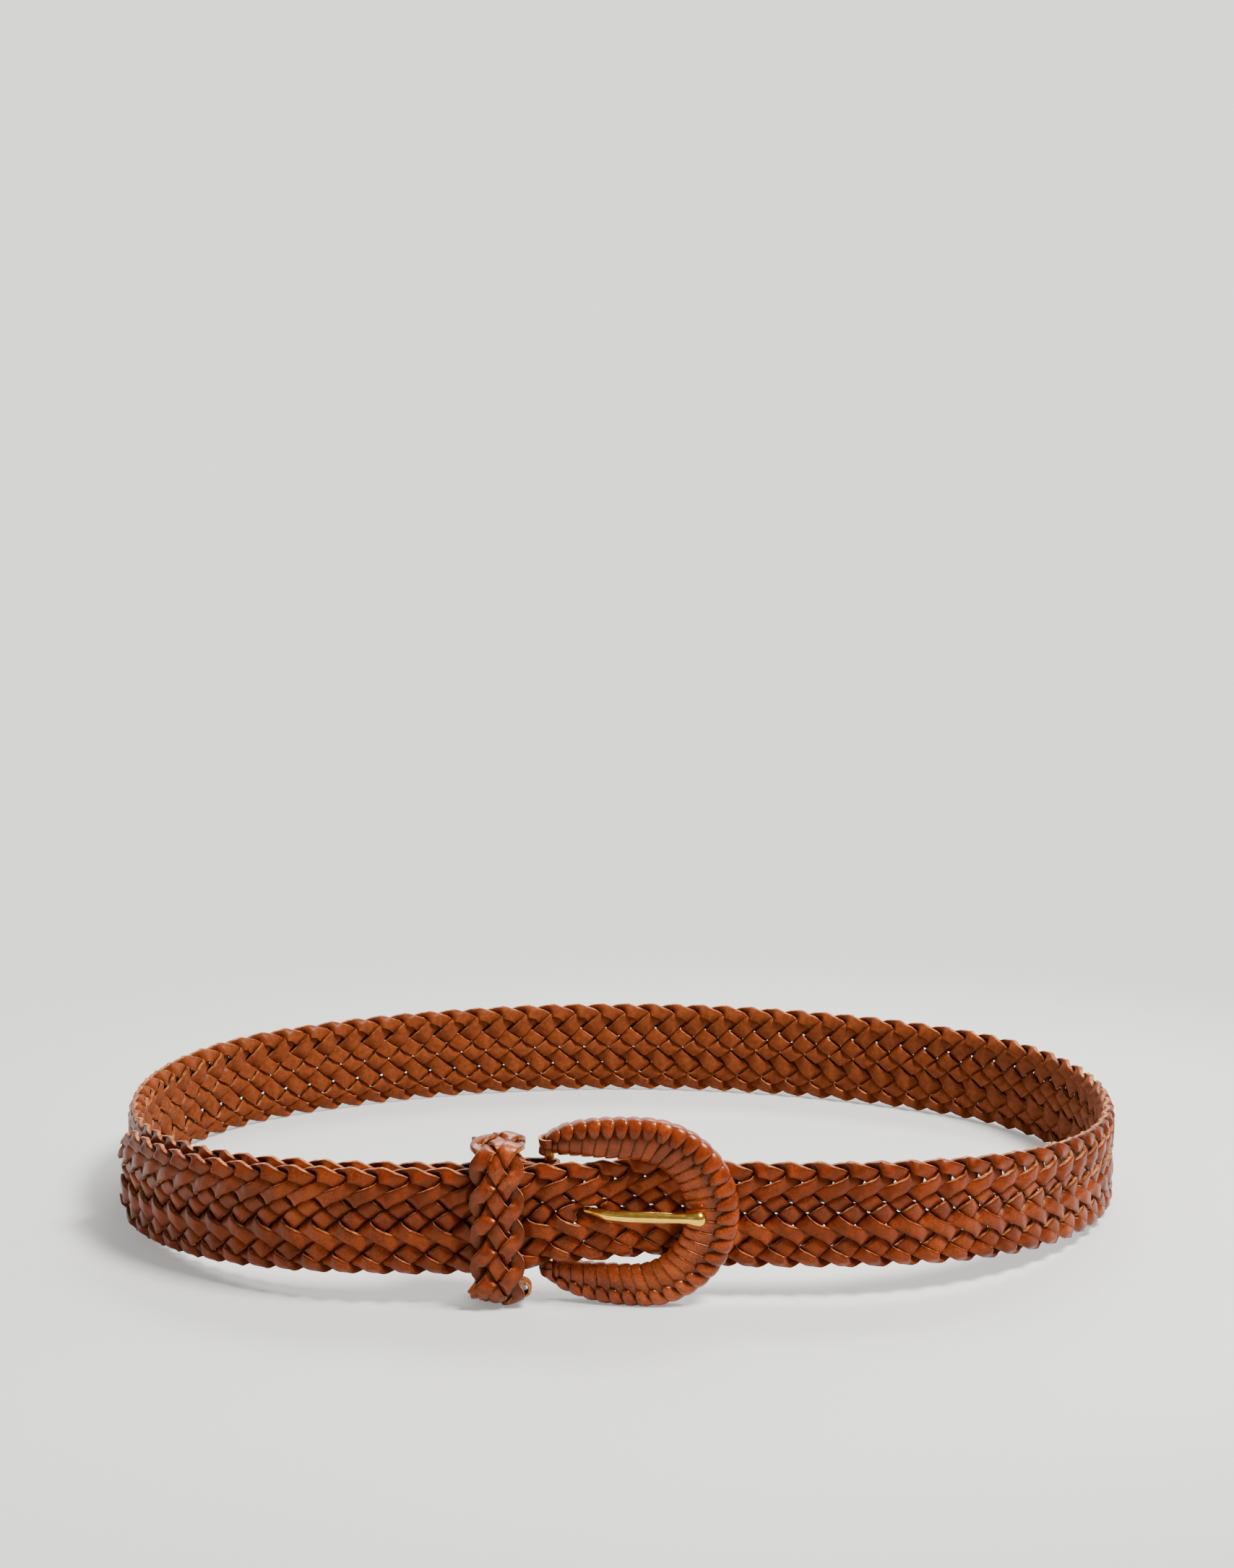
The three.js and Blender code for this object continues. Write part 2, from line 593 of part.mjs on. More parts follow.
const belt = new THREE.Group();
belt.add(
  ...strapLaces(),
  named("chape", chape(), leather("chape_leather")),
  named("chape_thread", chapeThread(), thread()),
  named("buckle_frame", buckleFrame(), brass()),
  named("buckle_lace", buckleLace(), leather("wrap_leather")),
  named("prong", prong(), brass()),
  ...keeperLaces(),
  named("keeper_tie", keeperTie(), leather("keeper_leather")),
);

// The origin is under the middle of the whole belt, on the surface it stands on.
const box = new THREE.Box3().setFromObject(belt, true);
belt.position.set(-(box.min.x + box.max.x) / 2, -(box.min.y + box.max.y) / 2, -box.min.z);

export default belt;
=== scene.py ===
"""Looks of the braided leather belt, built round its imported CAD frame. Lengths are in millimetres
until a mesh is made, which is in metres."""

import math

import bpy
import numpy as np
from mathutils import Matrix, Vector


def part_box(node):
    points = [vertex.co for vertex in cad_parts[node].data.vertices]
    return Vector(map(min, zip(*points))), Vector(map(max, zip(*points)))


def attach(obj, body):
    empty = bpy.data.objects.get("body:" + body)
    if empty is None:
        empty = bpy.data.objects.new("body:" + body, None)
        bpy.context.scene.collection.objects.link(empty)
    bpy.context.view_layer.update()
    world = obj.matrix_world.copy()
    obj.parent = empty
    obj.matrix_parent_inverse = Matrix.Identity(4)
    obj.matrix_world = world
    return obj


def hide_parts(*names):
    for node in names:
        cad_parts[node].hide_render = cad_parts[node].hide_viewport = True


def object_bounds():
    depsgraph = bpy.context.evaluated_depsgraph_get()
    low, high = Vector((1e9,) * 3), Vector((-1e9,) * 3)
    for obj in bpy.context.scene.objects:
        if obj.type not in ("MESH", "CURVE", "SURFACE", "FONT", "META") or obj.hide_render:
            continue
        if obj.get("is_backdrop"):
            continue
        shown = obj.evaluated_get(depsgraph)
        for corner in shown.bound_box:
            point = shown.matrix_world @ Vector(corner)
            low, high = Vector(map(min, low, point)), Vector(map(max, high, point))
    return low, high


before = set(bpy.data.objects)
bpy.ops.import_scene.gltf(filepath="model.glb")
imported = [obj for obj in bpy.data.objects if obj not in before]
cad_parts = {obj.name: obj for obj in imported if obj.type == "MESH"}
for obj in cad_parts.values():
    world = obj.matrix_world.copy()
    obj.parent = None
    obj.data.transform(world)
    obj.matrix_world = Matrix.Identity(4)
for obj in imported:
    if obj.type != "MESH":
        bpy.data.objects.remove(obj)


def write_bounds(lines, name):
    lo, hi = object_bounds()
    lines.append('"%s": [[%.6f, %.6f, %.6f], [%.6f, %.6f, %.6f]]' % (name, *lo, *hi))


size_lines = []
write_bounds(size_lines, "cad")

MM = 0.001
RNG = np.random.default_rng(12)


def box_mm(node):
    lo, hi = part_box(node)
    return np.array(lo) / MM, np.array(hi) / MM


# ---- Places read from the frame ----
FRAME_LO, FRAME_HI = box_mm("buckle_frame")
CHAPE_LO, CHAPE_HI = box_mm("chape")
KEEPER_LO, KEEPER_HI = box_mm("keeper_lace_1")
TIE_LO, TIE_HI = box_mm("keeper_tie")
PRONG_TIP_X = box_mm("prong")[1][0]
KEEPER_HIGHEST_Z = max(box_mm("keeper_lace_%d" % k)[1][2] for k in (1, 2, 3, 4))
BAR_RADIUS = 1.6
BAR_X = FRAME_LO[0] + BAR_RADIUS
PLANE_Y = (CHAPE_LO[1] + CHAPE_HI[1]) / 2  # the heel bar's axis, and the middle of the strap behind it
BUCKLE_Z = (FRAME_LO[2] + FRAME_HI[2]) / 2
KEEPER_X = (KEEPER_LO[0] + KEEPER_HI[0]) / 2

# ---- The loop in plan ----
FRONT_HALF_LENGTH = 62.0
CORNER_RADIUS = 105.0
SHOULDER_RADIUS = 88.0
SHOULDER_TURN = math.radians(60)
TIP_TURN = math.radians(68)  # how far the free end follows the left corner
BRAID_SETBACK = 3.55  # from the heel bar's surface to the braid's cut end inside the chape
KEEPER_LEVEL = 4.2  # the strap runs level this far to each side of the keeper's middle
TIP_DROP = 0.8  # of the way from the front's height to the floor's, at the free end
RAMP_EASE = 4.0  # the strap's climb through the buckle is sampled closely this far past its ends
FLOOR_GAP = 0.05  # no lace comes lower than this

# ---- The braid ----
BELT_WIDTH = 35.0
PITCH = 9.65
LACE_THICKNESS = 1.7
LACE_WIDTH = 5.4
LACE_COUNT = 10
BRAID_HALF_THICKNESS = 1.82  # of the CAD braid
BUCKLE_SQUEEZE = 0.94  # how far the braid narrows inside the buckle
OVERLAP_OFFSET = 5.74  # from the middle of the inner layer to the middle of the outer one
FRONT_Z = 26.74  # height of the strap's middle along the front
FLOOR_Z = BELT_WIDTH / 2
RAMP_START_X = 8.0  # the strap starts to climb out through the buckle here ...
RAMP_END_X = -14.0  # ... and is in front of the heel bar from here on
EYE_X = -10.5  # where the prong comes through the braid
TAPER_LENGTH = 15.0  # the free end narrows over this length
# From the top edge down: which way the lace on top runs at each row of crossings, how far down the
# width the row lies, and how far along (in pitches) a falling lace gets between it and the next.
STRAP_TOP = "DUUDUDDUD"
STRAP_ROWS = (0.11, 0.205, 0.285, 0.39, 0.49, 0.60, 0.685, 0.79, 0.875)
STRAP_ADVANCE = (0.50, 0.30, 0.40, 0.45, 0.62, 0.64, 0.52, 0.58)

# ---- The buckle ----
OPENING_HALF_HEIGHT = BELT_WIDTH * BUCKLE_SQUEEZE / 2 + 0.5
BUCKLE_BAND = 12.6
BUCKLE_SIDE_BAND = 15.8
BUCKLE_THICKNESS = 6.4
BUCKLE_REACH = 41.8
BUCKLE_BOW = 6.07  # how far the round side stands in front of the heel bar
OUTLINE_RADIUS = 29.4
CLEAR = 0.35
PRONG_RADIUS = 1.5

# ---- The keeper ----
KEEPER_LACE_COUNT = 4
KEEPER_PITCH = 10.2
KEEPER_WIDTH = 17.4
KEEPER_CORNER_RADIUS = 5.2
KEEPER_TOP = "DUD"
KEEPER_ROWS = (0.33, 0.50, 0.67)
KEEPER_ADVANCE = (0.5, 0.5)
KEEPER_LACE_WIDTH = 4.6
KEEPER_EASE = 1.0  # room left between the keeper and the strap it slides on
KEEPER_LACE_THICKNESS = 1.55
KEEPER_BOTTOM_Z = BRAID_HALF_THICKNESS + 0.6
KEEPER_TOP_Z = KEEPER_HIGHEST_Z - BRAID_HALF_THICKNESS + KEEPER_EASE


# ---- Meshes ----
def mesh_object(name, points, faces, material, body, attributes=None, sharp_angle=40):
    """A smooth mesh that moves with its body, or stands still where that is None."""
    mesh = bpy.data.meshes.new(name)
    mesh.from_pydata([tuple(p) for p in np.asarray(points, float) * MM], [], faces)
    mesh.update()
    mesh.shade_smooth()
    mesh.set_sharp_from_angle(angle=math.radians(sharp_angle))
    for key, values in (attributes or {}).items():
        mesh.attributes.new(key, "FLOAT", "POINT").data.foreach_set(
            "value", np.asarray(values, np.float32).ravel()
        )
    mesh.materials.append(material)
    obj = bpy.data.objects.new(name, mesh)
    bpy.context.scene.collection.objects.link(obj)
    if body:
        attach(obj, body)
    return obj


def tube_faces(rings, count, closed=False):
    """Faces over rings of count points each, with end caps unless the last ring joins the first."""
    faces = []
    last = rings if closed else rings - 1
    for i in range(last):
        a, b = i * count, ((i + 1) % rings) * count
        for j in range(count):
            k = (j + 1) % count
            faces.append((a + j, a + k, b + k, b + j))
    if not closed:
        faces.append(tuple(range(count - 1, -1, -1)))
        faces.append(tuple(range((rings - 1) * count, rings * count)))
    return faces


def facing_out(points, faces):
    """The faces turned so that the closed body's volume is positive."""
    p = np.asarray(points, float)
    volume = 0.0
    for f in faces:
        for k in range(1, len(f) - 1):
            volume += np.dot(p[f[0]], np.cross(p[f[k]], p[f[k + 1]]))
    return faces if volume > 0 else [tuple(reversed(f)) for f in faces]


class Bodies:
    """Closed bodies gathered into one mesh, each a row of rings, with values at their points."""

    def __init__(self):
        self.points, self.faces, self.values, self.total = [], [], {}, 0

    def add(self, rings, **values):
        shape = rings.shape[:2]
        flat = rings.reshape(-1, 3)
        flat[:, 2] = np.maximum(flat[:, 2], FLOOR_GAP)
        for face in facing_out(flat, tube_faces(*shape)):
            self.faces.append(tuple(self.total + k for k in face))
        self.points.append(flat)
        self.total += len(flat)
        for key, value in values.items():
            self.values.setdefault(key, []).append(np.broadcast_to(value, shape).ravel())

    def mesh_object(self, name, material, body, sharp_angle):
        values = {key: np.concatenate(parts) for key, parts in self.values.items()}
        points = np.vstack(self.points)
        return mesh_object(
            name, points, self.faces, material, body, attributes=values, sharp_angle=sharp_angle)


# ---- Routes ----
class Route:
    """A braid's smooth centre line, with the direction out of it, sampled closely along its length."""

    def __init__(self, points, scales, across, out_of):
        self.across = np.array(across, float)
        p = np.array(points, float)
        flat = p - np.outer(p @ self.across, self.across)
        step = np.linalg.norm(np.diff(flat, axis=0), axis=1)
        keep = np.r_[True, step > 1e-6]
        p, flat, scales = p[keep], flat[keep], np.array(scales, float)[keep]
        self.s = np.r_[0.0, np.cumsum(np.linalg.norm(np.diff(flat, axis=0), axis=1))]
        self.length = self.s[-1]
        along = np.gradient(flat, self.s, axis=0)
        along /= np.linalg.norm(along, axis=1)[:, None]
        self.p, self.scales = p, scales
        self.normals = out_of(along)

    def place(self, s, w, h):
        """The world places of points s along the braid, w across it and h out of it."""
        s = np.asarray(s, float)
        out = np.empty(s.shape + (3,))
        scale = np.interp(s, self.s, self.scales)
        for k in range(3):
            out[..., k] = (
                np.interp(s, self.s, self.p[:, k])
                + np.asarray(w) * scale * self.across[k]
                + np.asarray(h) * np.interp(s, self.s, self.normals[:, k])
            )
        before, after = np.minimum(s, 0), np.maximum(s - self.length, 0)
        first, last = self.direction(0), self.direction(-1)
        return out + before[..., None] * first + after[..., None] * last

    def direction(self, end):
        a, b = (self.p[0], self.p[1]) if end == 0 else (self.p[-2], self.p[-1])
        return (b - a) / np.linalg.norm(b - a)


def strap_route():
    """Clockwise as seen from above: from the chape left, round the back, home along the front, up
    through the buckle and on to the tip."""
    reach = SHOULDER_RADIUS * (1 - math.cos(SHOULDER_TURN))
    back_radius = (FRONT_HALF_LENGTH + CORNER_RADIUS - reach) / math.cos(SHOULDER_TURN)
    points, scales = [], []
    state = {"heading": math.pi}

    def add(x, y, z, scale):
        points.append((x, y, z))
        scales.append(scale)

    def line_to(x, y, z, scale, steps=12):
        x0, y0, z0 = points[-1]
        s0 = scales[-1]
        for i in range(1, steps + 1):
            t = i / steps
            e = t * t * (3 - 2 * t)
            add(x0 + (x - x0) * t, y0 + (y - y0) * t, z0 + (z - z0) * e, s0 + (scale - s0) * e)

    def turn(radius, angle, z, scale):
        x0, y0, z0 = points[-1]
        s0, heading = scales[-1], state["heading"]
        cx, cy = x0 + radius * math.sin(heading), y0 - radius * math.cos(heading)
        steps = max(8, int(radius * angle / 2))
        for i in range(1, steps + 1):
            t = i / steps
            to = heading - angle * t
            e = t * t * (3 - 2 * t)
            add(
                cx - radius * math.sin(to), cy + radius * math.cos(to), z0 + (z - z0) * e,
                s0 + (scale - s0) * t,
            )
        state["heading"] -= angle

    add(BAR_X - BAR_RADIUS - BRAID_SETBACK, 0, BUCKLE_Z, BUCKLE_SQUEEZE)
    line_to(KEEPER_X - KEEPER_LEVEL, 0, FRONT_Z, 1)
    line_to(-FRONT_HALF_LENGTH, 0, FRONT_Z, 1)
    turn(CORNER_RADIUS, math.pi / 2, FLOOR_Z, 1)
    turn(SHOULDER_RADIUS, SHOULDER_TURN, FLOOR_Z, 1)
    turn(back_radius, math.pi - 2 * SHOULDER_TURN, FLOOR_Z, 1)
    turn(SHOULDER_RADIUS, SHOULDER_TURN, FLOOR_Z, 1)
    turn(CORNER_RADIUS, math.pi / 2, FRONT_Z, 1)
    state["heading"] = math.pi
    line_to(BAR_X + BUCKLE_REACH + BUCKLE_SIDE_BAND + 2, 0, FRONT_Z, 1)
    line_to(RAMP_START_X + RAMP_EASE, 0, BUCKLE_Z, BUCKLE_SQUEEZE)
    ramp_from = len(points)
    steps = 30
    x0 = points[-1][0]
    climb_from, climb_to = RAMP_START_X + 2, RAMP_END_X - 2
    for i in range(1, steps + 1):
        x = x0 + (RAMP_END_X - RAMP_EASE - x0) * i / steps
        climb = min(max((climb_from - x) / (climb_from - climb_to), 0), 1)
        add(x, -OVERLAP_OFFSET * climb * climb * (3 - 2 * climb), BUCKLE_Z, BUCKLE_SQUEEZE)
    ramp_to = len(points)
    line_to(BAR_X + 1, -OVERLAP_OFFSET, BUCKLE_Z, BUCKLE_SQUEEZE)
    line_to(KEEPER_X + KEEPER_LEVEL, -OVERLAP_OFFSET, FRONT_Z, 1)
    line_to(-FRONT_HALF_LENGTH, -OVERLAP_OFFSET, FRONT_Z, 1)
    turn(CORNER_RADIUS + OVERLAP_OFFSET, TIP_TURN, FRONT_Z + TIP_DROP * (FLOOR_Z - FRONT_Z), 1)
    world = [(x, y + PLANE_Y, z) for x, y, z in points]
    route = Route(world, scales, (0, 0, 1), lambda d: np.c_[-d[:, 1], d[:, 0], 0 * d[:, 0]])
    ramp = np.array(world[ramp_from:ramp_to])
    nearest = ramp_from + int(np.argmin(np.abs(ramp[:, 0] - EYE_X)))
    return route, route.s[nearest]


def keeper_route():
    """Once round both layers of the belt, up over the front first."""
    front = KEEPER_LO[1] + BRAID_HALF_THICKNESS - KEEPER_EASE
    back = KEEPER_HI[1] - BRAID_HALF_THICKNESS + KEEPER_EASE
    bottom, top = KEEPER_BOTTOM_Z, KEEPER_TOP_Z
    middle = (front + back) / 2
    radius = KEEPER_CORNER_RADIUS
    points = []

    def corner(cy, cz, start, steps=12):
        for i in range(steps + 1):
            a = start - (math.pi / 2) * i / steps
            points.append((KEEPER_X, cy + radius * math.cos(a), cz + radius * math.sin(a)))

    def upright(y, z0, z1, steps=16):
        for i in range(1, steps):
            points.append((KEEPER_X, y, z0 + (z1 - z0) * i / steps))

    points.append((KEEPER_X, middle - 0.2, bottom))
    corner(front + radius, bottom + radius, -math.pi / 2)
    upright(front, bottom + radius, top - radius)
    corner(front + radius, top - radius, math.pi)
    corner(back - radius, top - radius, math.pi / 2)
    upright(back, top - radius, bottom + radius)
    corner(back - radius, bottom + radius, 0)
    points.append((KEEPER_X, middle + 0.2, bottom))
    return Route(points, [1.0] * len(points), (-1, 0, 0), lambda d: np.c_[0 * d[:, 0], -d[:, 2], d[:, 1]])


# ---- The weave ----
class Weave:
    """One lace's way through a flat braid, over one whole cycle. All laces of the braid are the
    same, one pitch apart. Places are (along, across, out of) the braid as seen from outside, with
    along to the right and across upwards. Where laces lie over each other they are pushed apart
    until each clears the next, while each stays as straight as it can."""

    EDGE_REACH = 0.93  # of half a lace: how far the middle line stays inside the braid's edge
    ROUNDS = 500  # of pushing the laces apart
    ROOM_SHARE = 0.485  # of the room between neighbours that half a lace may fill
    LEAST_WIDTH = 0.78  # a lace bunches up to this share of its width
    TOUCHING = 0.42  # places of two laces this near in plan lie over each other
    LAST_ROUNDS = 30  # of those that no longer straighten the laces
    HEIGHT_LIMIT = 1.15  # in lace thicknesses

    def __init__(self, count, pitch, width, lace_width, thickness, top, rows, advance):
        self.count, self.pitch, self.cycle = count, pitch, count * pitch
        self.half = lace_width / 2
        edge = width / 2 - self.half * self.EDGE_REACH
        across = [width / 2 - f * width for f in rows]
        falling = np.r_[0.0, np.cumsum(advance)] * pitch
        rising = falling[-1] + pitch * np.r_[1.0, 1.0 + np.cumsum([1 - a for a in advance[::-1]])]
        knots = [(-pitch / 2, edge)]
        knots += list(zip(falling, across))
        knots += [(falling[-1] + pitch / 2, -edge)]
        knots += list(zip(rising, across[::-1]))
        knots = np.array(knots)
        path = self.smooth_loop(knots)
        chord = np.r_[0.0, np.cumsum(np.linalg.norm(np.diff(path, axis=0), axis=1))]
        self.total = chord[-1]
        self.nu = int(round(self.total / 0.5))
        u = np.arange(self.nu) * self.total / self.nu
        centre = np.c_[np.interp(u, chord, path[:, 0]), np.interp(u, chord, path[:, 1])]
        ahead = np.roll(centre, -1, axis=0)
        ahead[-1, 0] += self.cycle
        behind = np.roll(centre, 1, axis=0)
        behind[0, 0] -= self.cycle
        tangent = ahead - behind
        tangent /= np.linalg.norm(tangent, axis=1)[:, None]
        normal = np.c_[-tangent[:, 1], tangent[:, 0]]
        room = self.ROOM_SHARE * pitch * np.abs(tangent[:, 1])
        self.widths = self.blur(np.minimum(self.half, np.maximum(room, self.LEAST_WIDTH * self.half)), 3)
        self.v = np.linspace(-1, 1, 9)
        self.centre, self.normal = centre, normal
        self.plan = centre[:, None, :] + (self.widths[:, None] * self.v)[..., None] * normal[:, None, :]
        self.is_falling = centre[:, 0] < falling[-1] + pitch / 2
        self.heights = self.relax(thickness, top)

    @staticmethod
    def blur(values, times):
        for _ in range(times):
            values = (np.roll(values, 1, 0) + 2 * values + np.roll(values, -1, 0)) / 4
        return values

    def smooth_loop(self, knots):
        """A closed curve through the knots that repeats every cycle."""
        n = len(knots)
        shift = np.array([self.cycle, 0.0])
        wrap = np.vstack([knots[-2:] - shift, knots, knots[:3] + shift])
        out = []
        for i in range(2, n + 2):
            p0, p1, p2, p3 = wrap[i - 1], wrap[i], wrap[i + 1], wrap[i + 2]
            t = np.linspace(0, 1, 24, endpoint=False)[:, None]
            m1, m2 = (p2 - p0) / 2, (p3 - p1) / 2
            out.append(
                (2 * t**3 - 3 * t**2 + 1) * p1 + (t**3 - 2 * t**2 + t) * m1
                + (-2 * t**3 + 3 * t**2) * p2 + (t**3 - t**2) * m2
            )
        out.append(knots[:1] + shift)
        path = np.vstack(out)
        for _ in range(6):
            path[1:-1] = (path[:-2] + 2 * path[1:-1] + path[2:]) / 4
        return path

    def relax(self, thickness, top):
        """Heights over the plan. top says, row by row from the top edge down, which lace is over the
        other: D where it is the falling one."""
        nv = len(self.v)
        flat = self.plan.reshape(-1, 2)
        index_u = np.repeat(np.arange(self.nu), nv)
        along = flat[:, 0]
        folded = np.mod(along, self.pitch)
        pairs_a, pairs_b = [], []
        falling = self.is_falling[index_u]
        rising_ids = np.nonzero(~falling)[0]
        falling_ids = np.nonzero(falling)[0]
        for a in falling_ids:
            gap = np.abs(folded[rising_ids] - folded[a])
            gap = np.minimum(gap, self.pitch - gap)
            apart = np.abs(flat[rising_ids, 1] - flat[a, 1])
            close = (gap < self.TOUCHING) & (apart < self.TOUCHING)
            found = rising_ids[close]
            pairs_a.append(np.full(len(found), a))
            pairs_b.append(found)
        a, b = np.concatenate(pairs_a), np.concatenate(pairs_b)
        shift = np.round((along[b] - along[a]) / self.pitch).astype(int)
        row = self.count - shift
        real = (row >= 1) & (row <= self.count - 1)
        a, b, row = a[real], b[real], row[real]
        over = np.array([t == "D" for t in top])[row - 1]
        upper, lower = np.where(over, a, b), np.where(over, b, a)
        h = np.zeros(len(flat))
        count = np.bincount(np.r_[upper, lower], minlength=len(flat)).clip(1)
        for step in range(self.ROUNDS):
            grid = h.reshape(self.nu, nv)
            if step < self.ROUNDS - self.LAST_ROUNDS:
                near = (np.roll(grid, 1, 0) + np.roll(grid, -1, 0)) / 2
                far = (np.roll(grid, 2, 0) + np.roll(grid, -2, 0)) / 2
                grid = grid + 0.30 * ((4 * near - far) / 3 - grid) + 0.10 * (near - grid)
                middle = grid.mean(1, keepdims=True)
                lean = (grid * self.v).sum(1, keepdims=True) / (self.v**2).sum()
                plane = middle + lean * self.v
                grid = plane + 0.55 * (grid - plane)
                grid = grid * 0.999
            h = grid.reshape(-1)
            short = np.maximum(thickness - (h[upper] - h[lower]), 0)
            push = np.bincount(upper, short, len(h)) - np.bincount(lower, short, len(h))
            h = h + 0.9 * push / count
        limit = self.HEIGHT_LIMIT * thickness
        return np.clip(self.blur(h.reshape(self.nu, nv), 1), -limit, limit)

    def sample(self, u, v):
        """Place along and across the braid, and height, at u (in millimetres along the lace) for
        each v."""
        turns = np.floor(u / self.total)
        f = (u - turns * self.total) / self.total * self.nu
        i = np.floor(f).astype(int) % self.nu
        j = (i + 1) % self.nu
        t = (f - np.floor(f))[:, None]
        wrap = np.where(j == 0, self.cycle, 0.0)[:, None]
        cx = self.centre[i, 0][:, None] * (1 - t) + (self.centre[j, 0][:, None] + wrap) * t
        cy = self.centre[i, 1][:, None] * (1 - t) + self.centre[j, 1][:, None] * t
        nx = self.normal[i, 0][:, None] * (1 - t) + self.normal[j, 0][:, None] * t
        ny = self.normal[i, 1][:, None] * (1 - t) + self.normal[j, 1][:, None] * t
        half = self.widths[i][:, None] * (1 - t) + self.widths[j][:, None] * t
        h0 = np.array([np.interp(v[k], self.v, self.heights[i[k]]) for k in range(len(u))])
        h1 = np.array([np.interp(v[k], self.v, self.heights[j[k]]) for k in range(len(u))])
        along = cx + self.cycle * turns[:, None] + half * v * nx
        return along, cy + half * v * ny, h0 * (1 - t) + h1 * t


# A lace's section: places across (in half widths) and out (in thicknesses), grain side up.
SECTION = np.array([
    (-0.98, -0.42), (-1.00, 0.22), (-0.955, 0.40), (-0.80, 0.49), (-0.40, 0.535), (0.0, 0.54),
    (0.40, 0.535), (0.80, 0.49), (0.955, 0.40), (1.00, 0.22), (0.98, -0.42), (0.90, -0.5),
    (0.0, -0.5), (-0.90, -0.5),
])
SECTION_MIDDLE = 5  # which of those is the middle of the grain side


def woven_lace(name, weave, route, offset, thickness, material, body, warp=None, step=0.8,
               flip=-1, seed=0, taper=None):
    """One lace of a braid, starting offset along its route. flip is -1 where the route runs to the
    left as seen from outside. warp and taper move the lace's points within the braid's plane."""
    local = np.random.default_rng(seed)
    reach = abs(offset) + weave.cycle + 8.0
    turns_from = math.floor(-reach / weave.cycle) - 1
    turns_to = math.ceil((route.length + reach) / weave.cycle) + 1
    u = np.arange(turns_from * weave.total, turns_to * weave.total, step)
    x, w, h = weave.sample(u, np.repeat(SECTION[None, :, 0], len(u), axis=0))
    s = offset + flip * x
    centre = s[:, SECTION_MIDDLE]
    keep = np.nonzero((centre > 0.0) & (centre < route.length))[0]
    s, w, h, u = s[keep], w[keep], h[keep], u[keep]
    out = SECTION[None, :, 1] * thickness
    wave = 0.10 * np.sin(u / 7.3 + seed) + 0.06 * np.sin(u / 2.9 + 2 * seed)
    rough = local.normal(0, 0.045, s.shape) * (np.abs(SECTION[None, :, 0]) > 0.92)
    h = h + out + rough * 0.6
    w = w + wave[:, None] * 0.5 + rough
    s = s + rough
    if warp is not None:
        s, w = warp(s, w)
    if taper is not None:
        w = w * taper(s)
    points = route.place(s, w, h)
    points[..., 2] = np.maximum(points[..., 2], FLOOR_GAP)
    count = len(SECTION)
    flat = points.reshape(-1, 3)
    faces = facing_out(flat, tube_faces(len(points), count))
    across = np.repeat(SECTION[None, :, 0], len(points), axis=0)
    outward = np.repeat(SECTION[None, :, 1], len(points), axis=0)
    length = np.repeat(u[:, None], count, axis=1)
    level = (h - out) / thickness
    # Painted shade: each face of the lace is darkened where it dips away under its neighbours.
    painted_shade = np.clip(0.38 - np.where(outward > 0, level, -level) * 0.85, 0, 1)  # dark where it dips
    obj = mesh_object(
        name, flat, faces, material, body,
        attributes={"across": across, "outward": outward, "length": length, "painted_shade": painted_shade,
                    "tone": np.full(across.shape, local.uniform(-1, 1))},
        sharp_angle=50,
    )
    return obj


def strap_warp(centre_s):
    """Laces beside the prong give way round a long eye."""
    length, height, spread = 4.0, 1.4, 3.2  # half sizes of the eye, and how far out the laces give way

    def warp(s, w):
        r = np.maximum(np.hypot((s - centre_s) / length, w / height), 0.06)
        grow = np.where(r < spread, 1 / r + (spread - 1) / spread, 1.0)
        return centre_s + (s - centre_s) * grow, w * grow

    return warp


# ---- The buckle's plan: u from the heel bar to the round side, v up from its middle ----
OPENING_CENTRE_U = BUCKLE_REACH - OPENING_HALF_HEIGHT
OUTLINE_CENTRE_U = BUCKLE_REACH + BUCKLE_SIDE_BAND - OUTLINE_RADIUS
ARM_END_U = -0.9  # where the arms' wrapping ends
ARM_LENGTH = OUTLINE_CENTRE_U - ARM_END_U + 0.6
OUTLINE_ARM_REACH = ARM_LENGTH + 10.4  # where the arms' outline would come down to the middle
OUTER_HALF_HEIGHT = OPENING_HALF_HEIGHT + BUCKLE_BAND
ARC_SHARE = 0.62  # of the wrapped length, the rest is the two arms
WRAP_COUNT = 33


def buckle_edges(t):
    """Inner and outer outline at t, from -1 at the lower arm's end through 0 to 1 at the upper's."""
    t = np.asarray(t, float)
    side = np.where(t < 0, -1.0, 1.0)
    away = np.abs(t)
    angle = (math.pi / 2) * np.minimum(away / ARC_SHARE, 1)
    back = ARM_LENGTH * np.maximum(away - ARC_SHARE, 0) / (1 - ARC_SHARE)
    on_arc = away < ARC_SHARE
    reach = np.minimum(back, OUTLINE_ARM_REACH * 0.999) / OUTLINE_ARM_REACH
    fall = np.clip(1 - reach**2.5, 0, 1) ** 0.4
    inner_u = np.where(
        on_arc, OPENING_CENTRE_U + OPENING_HALF_HEIGHT * np.cos(angle),
        OPENING_CENTRE_U + (ARM_END_U - OPENING_CENTRE_U) * back / ARM_LENGTH,
    )
    inner_v = side * np.where(on_arc, OPENING_HALF_HEIGHT * np.sin(angle), OPENING_HALF_HEIGHT)
    outer_u = np.where(on_arc, OUTLINE_CENTRE_U + OUTLINE_RADIUS * np.cos(angle), OUTLINE_CENTRE_U - back)
    outer_v = side * np.where(on_arc, OUTER_HALF_HEIGHT * np.sin(angle), OUTER_HALF_HEIGHT * fall)
    return np.stack([inner_u, inner_v], -1), np.stack([outer_u, outer_v], -1)


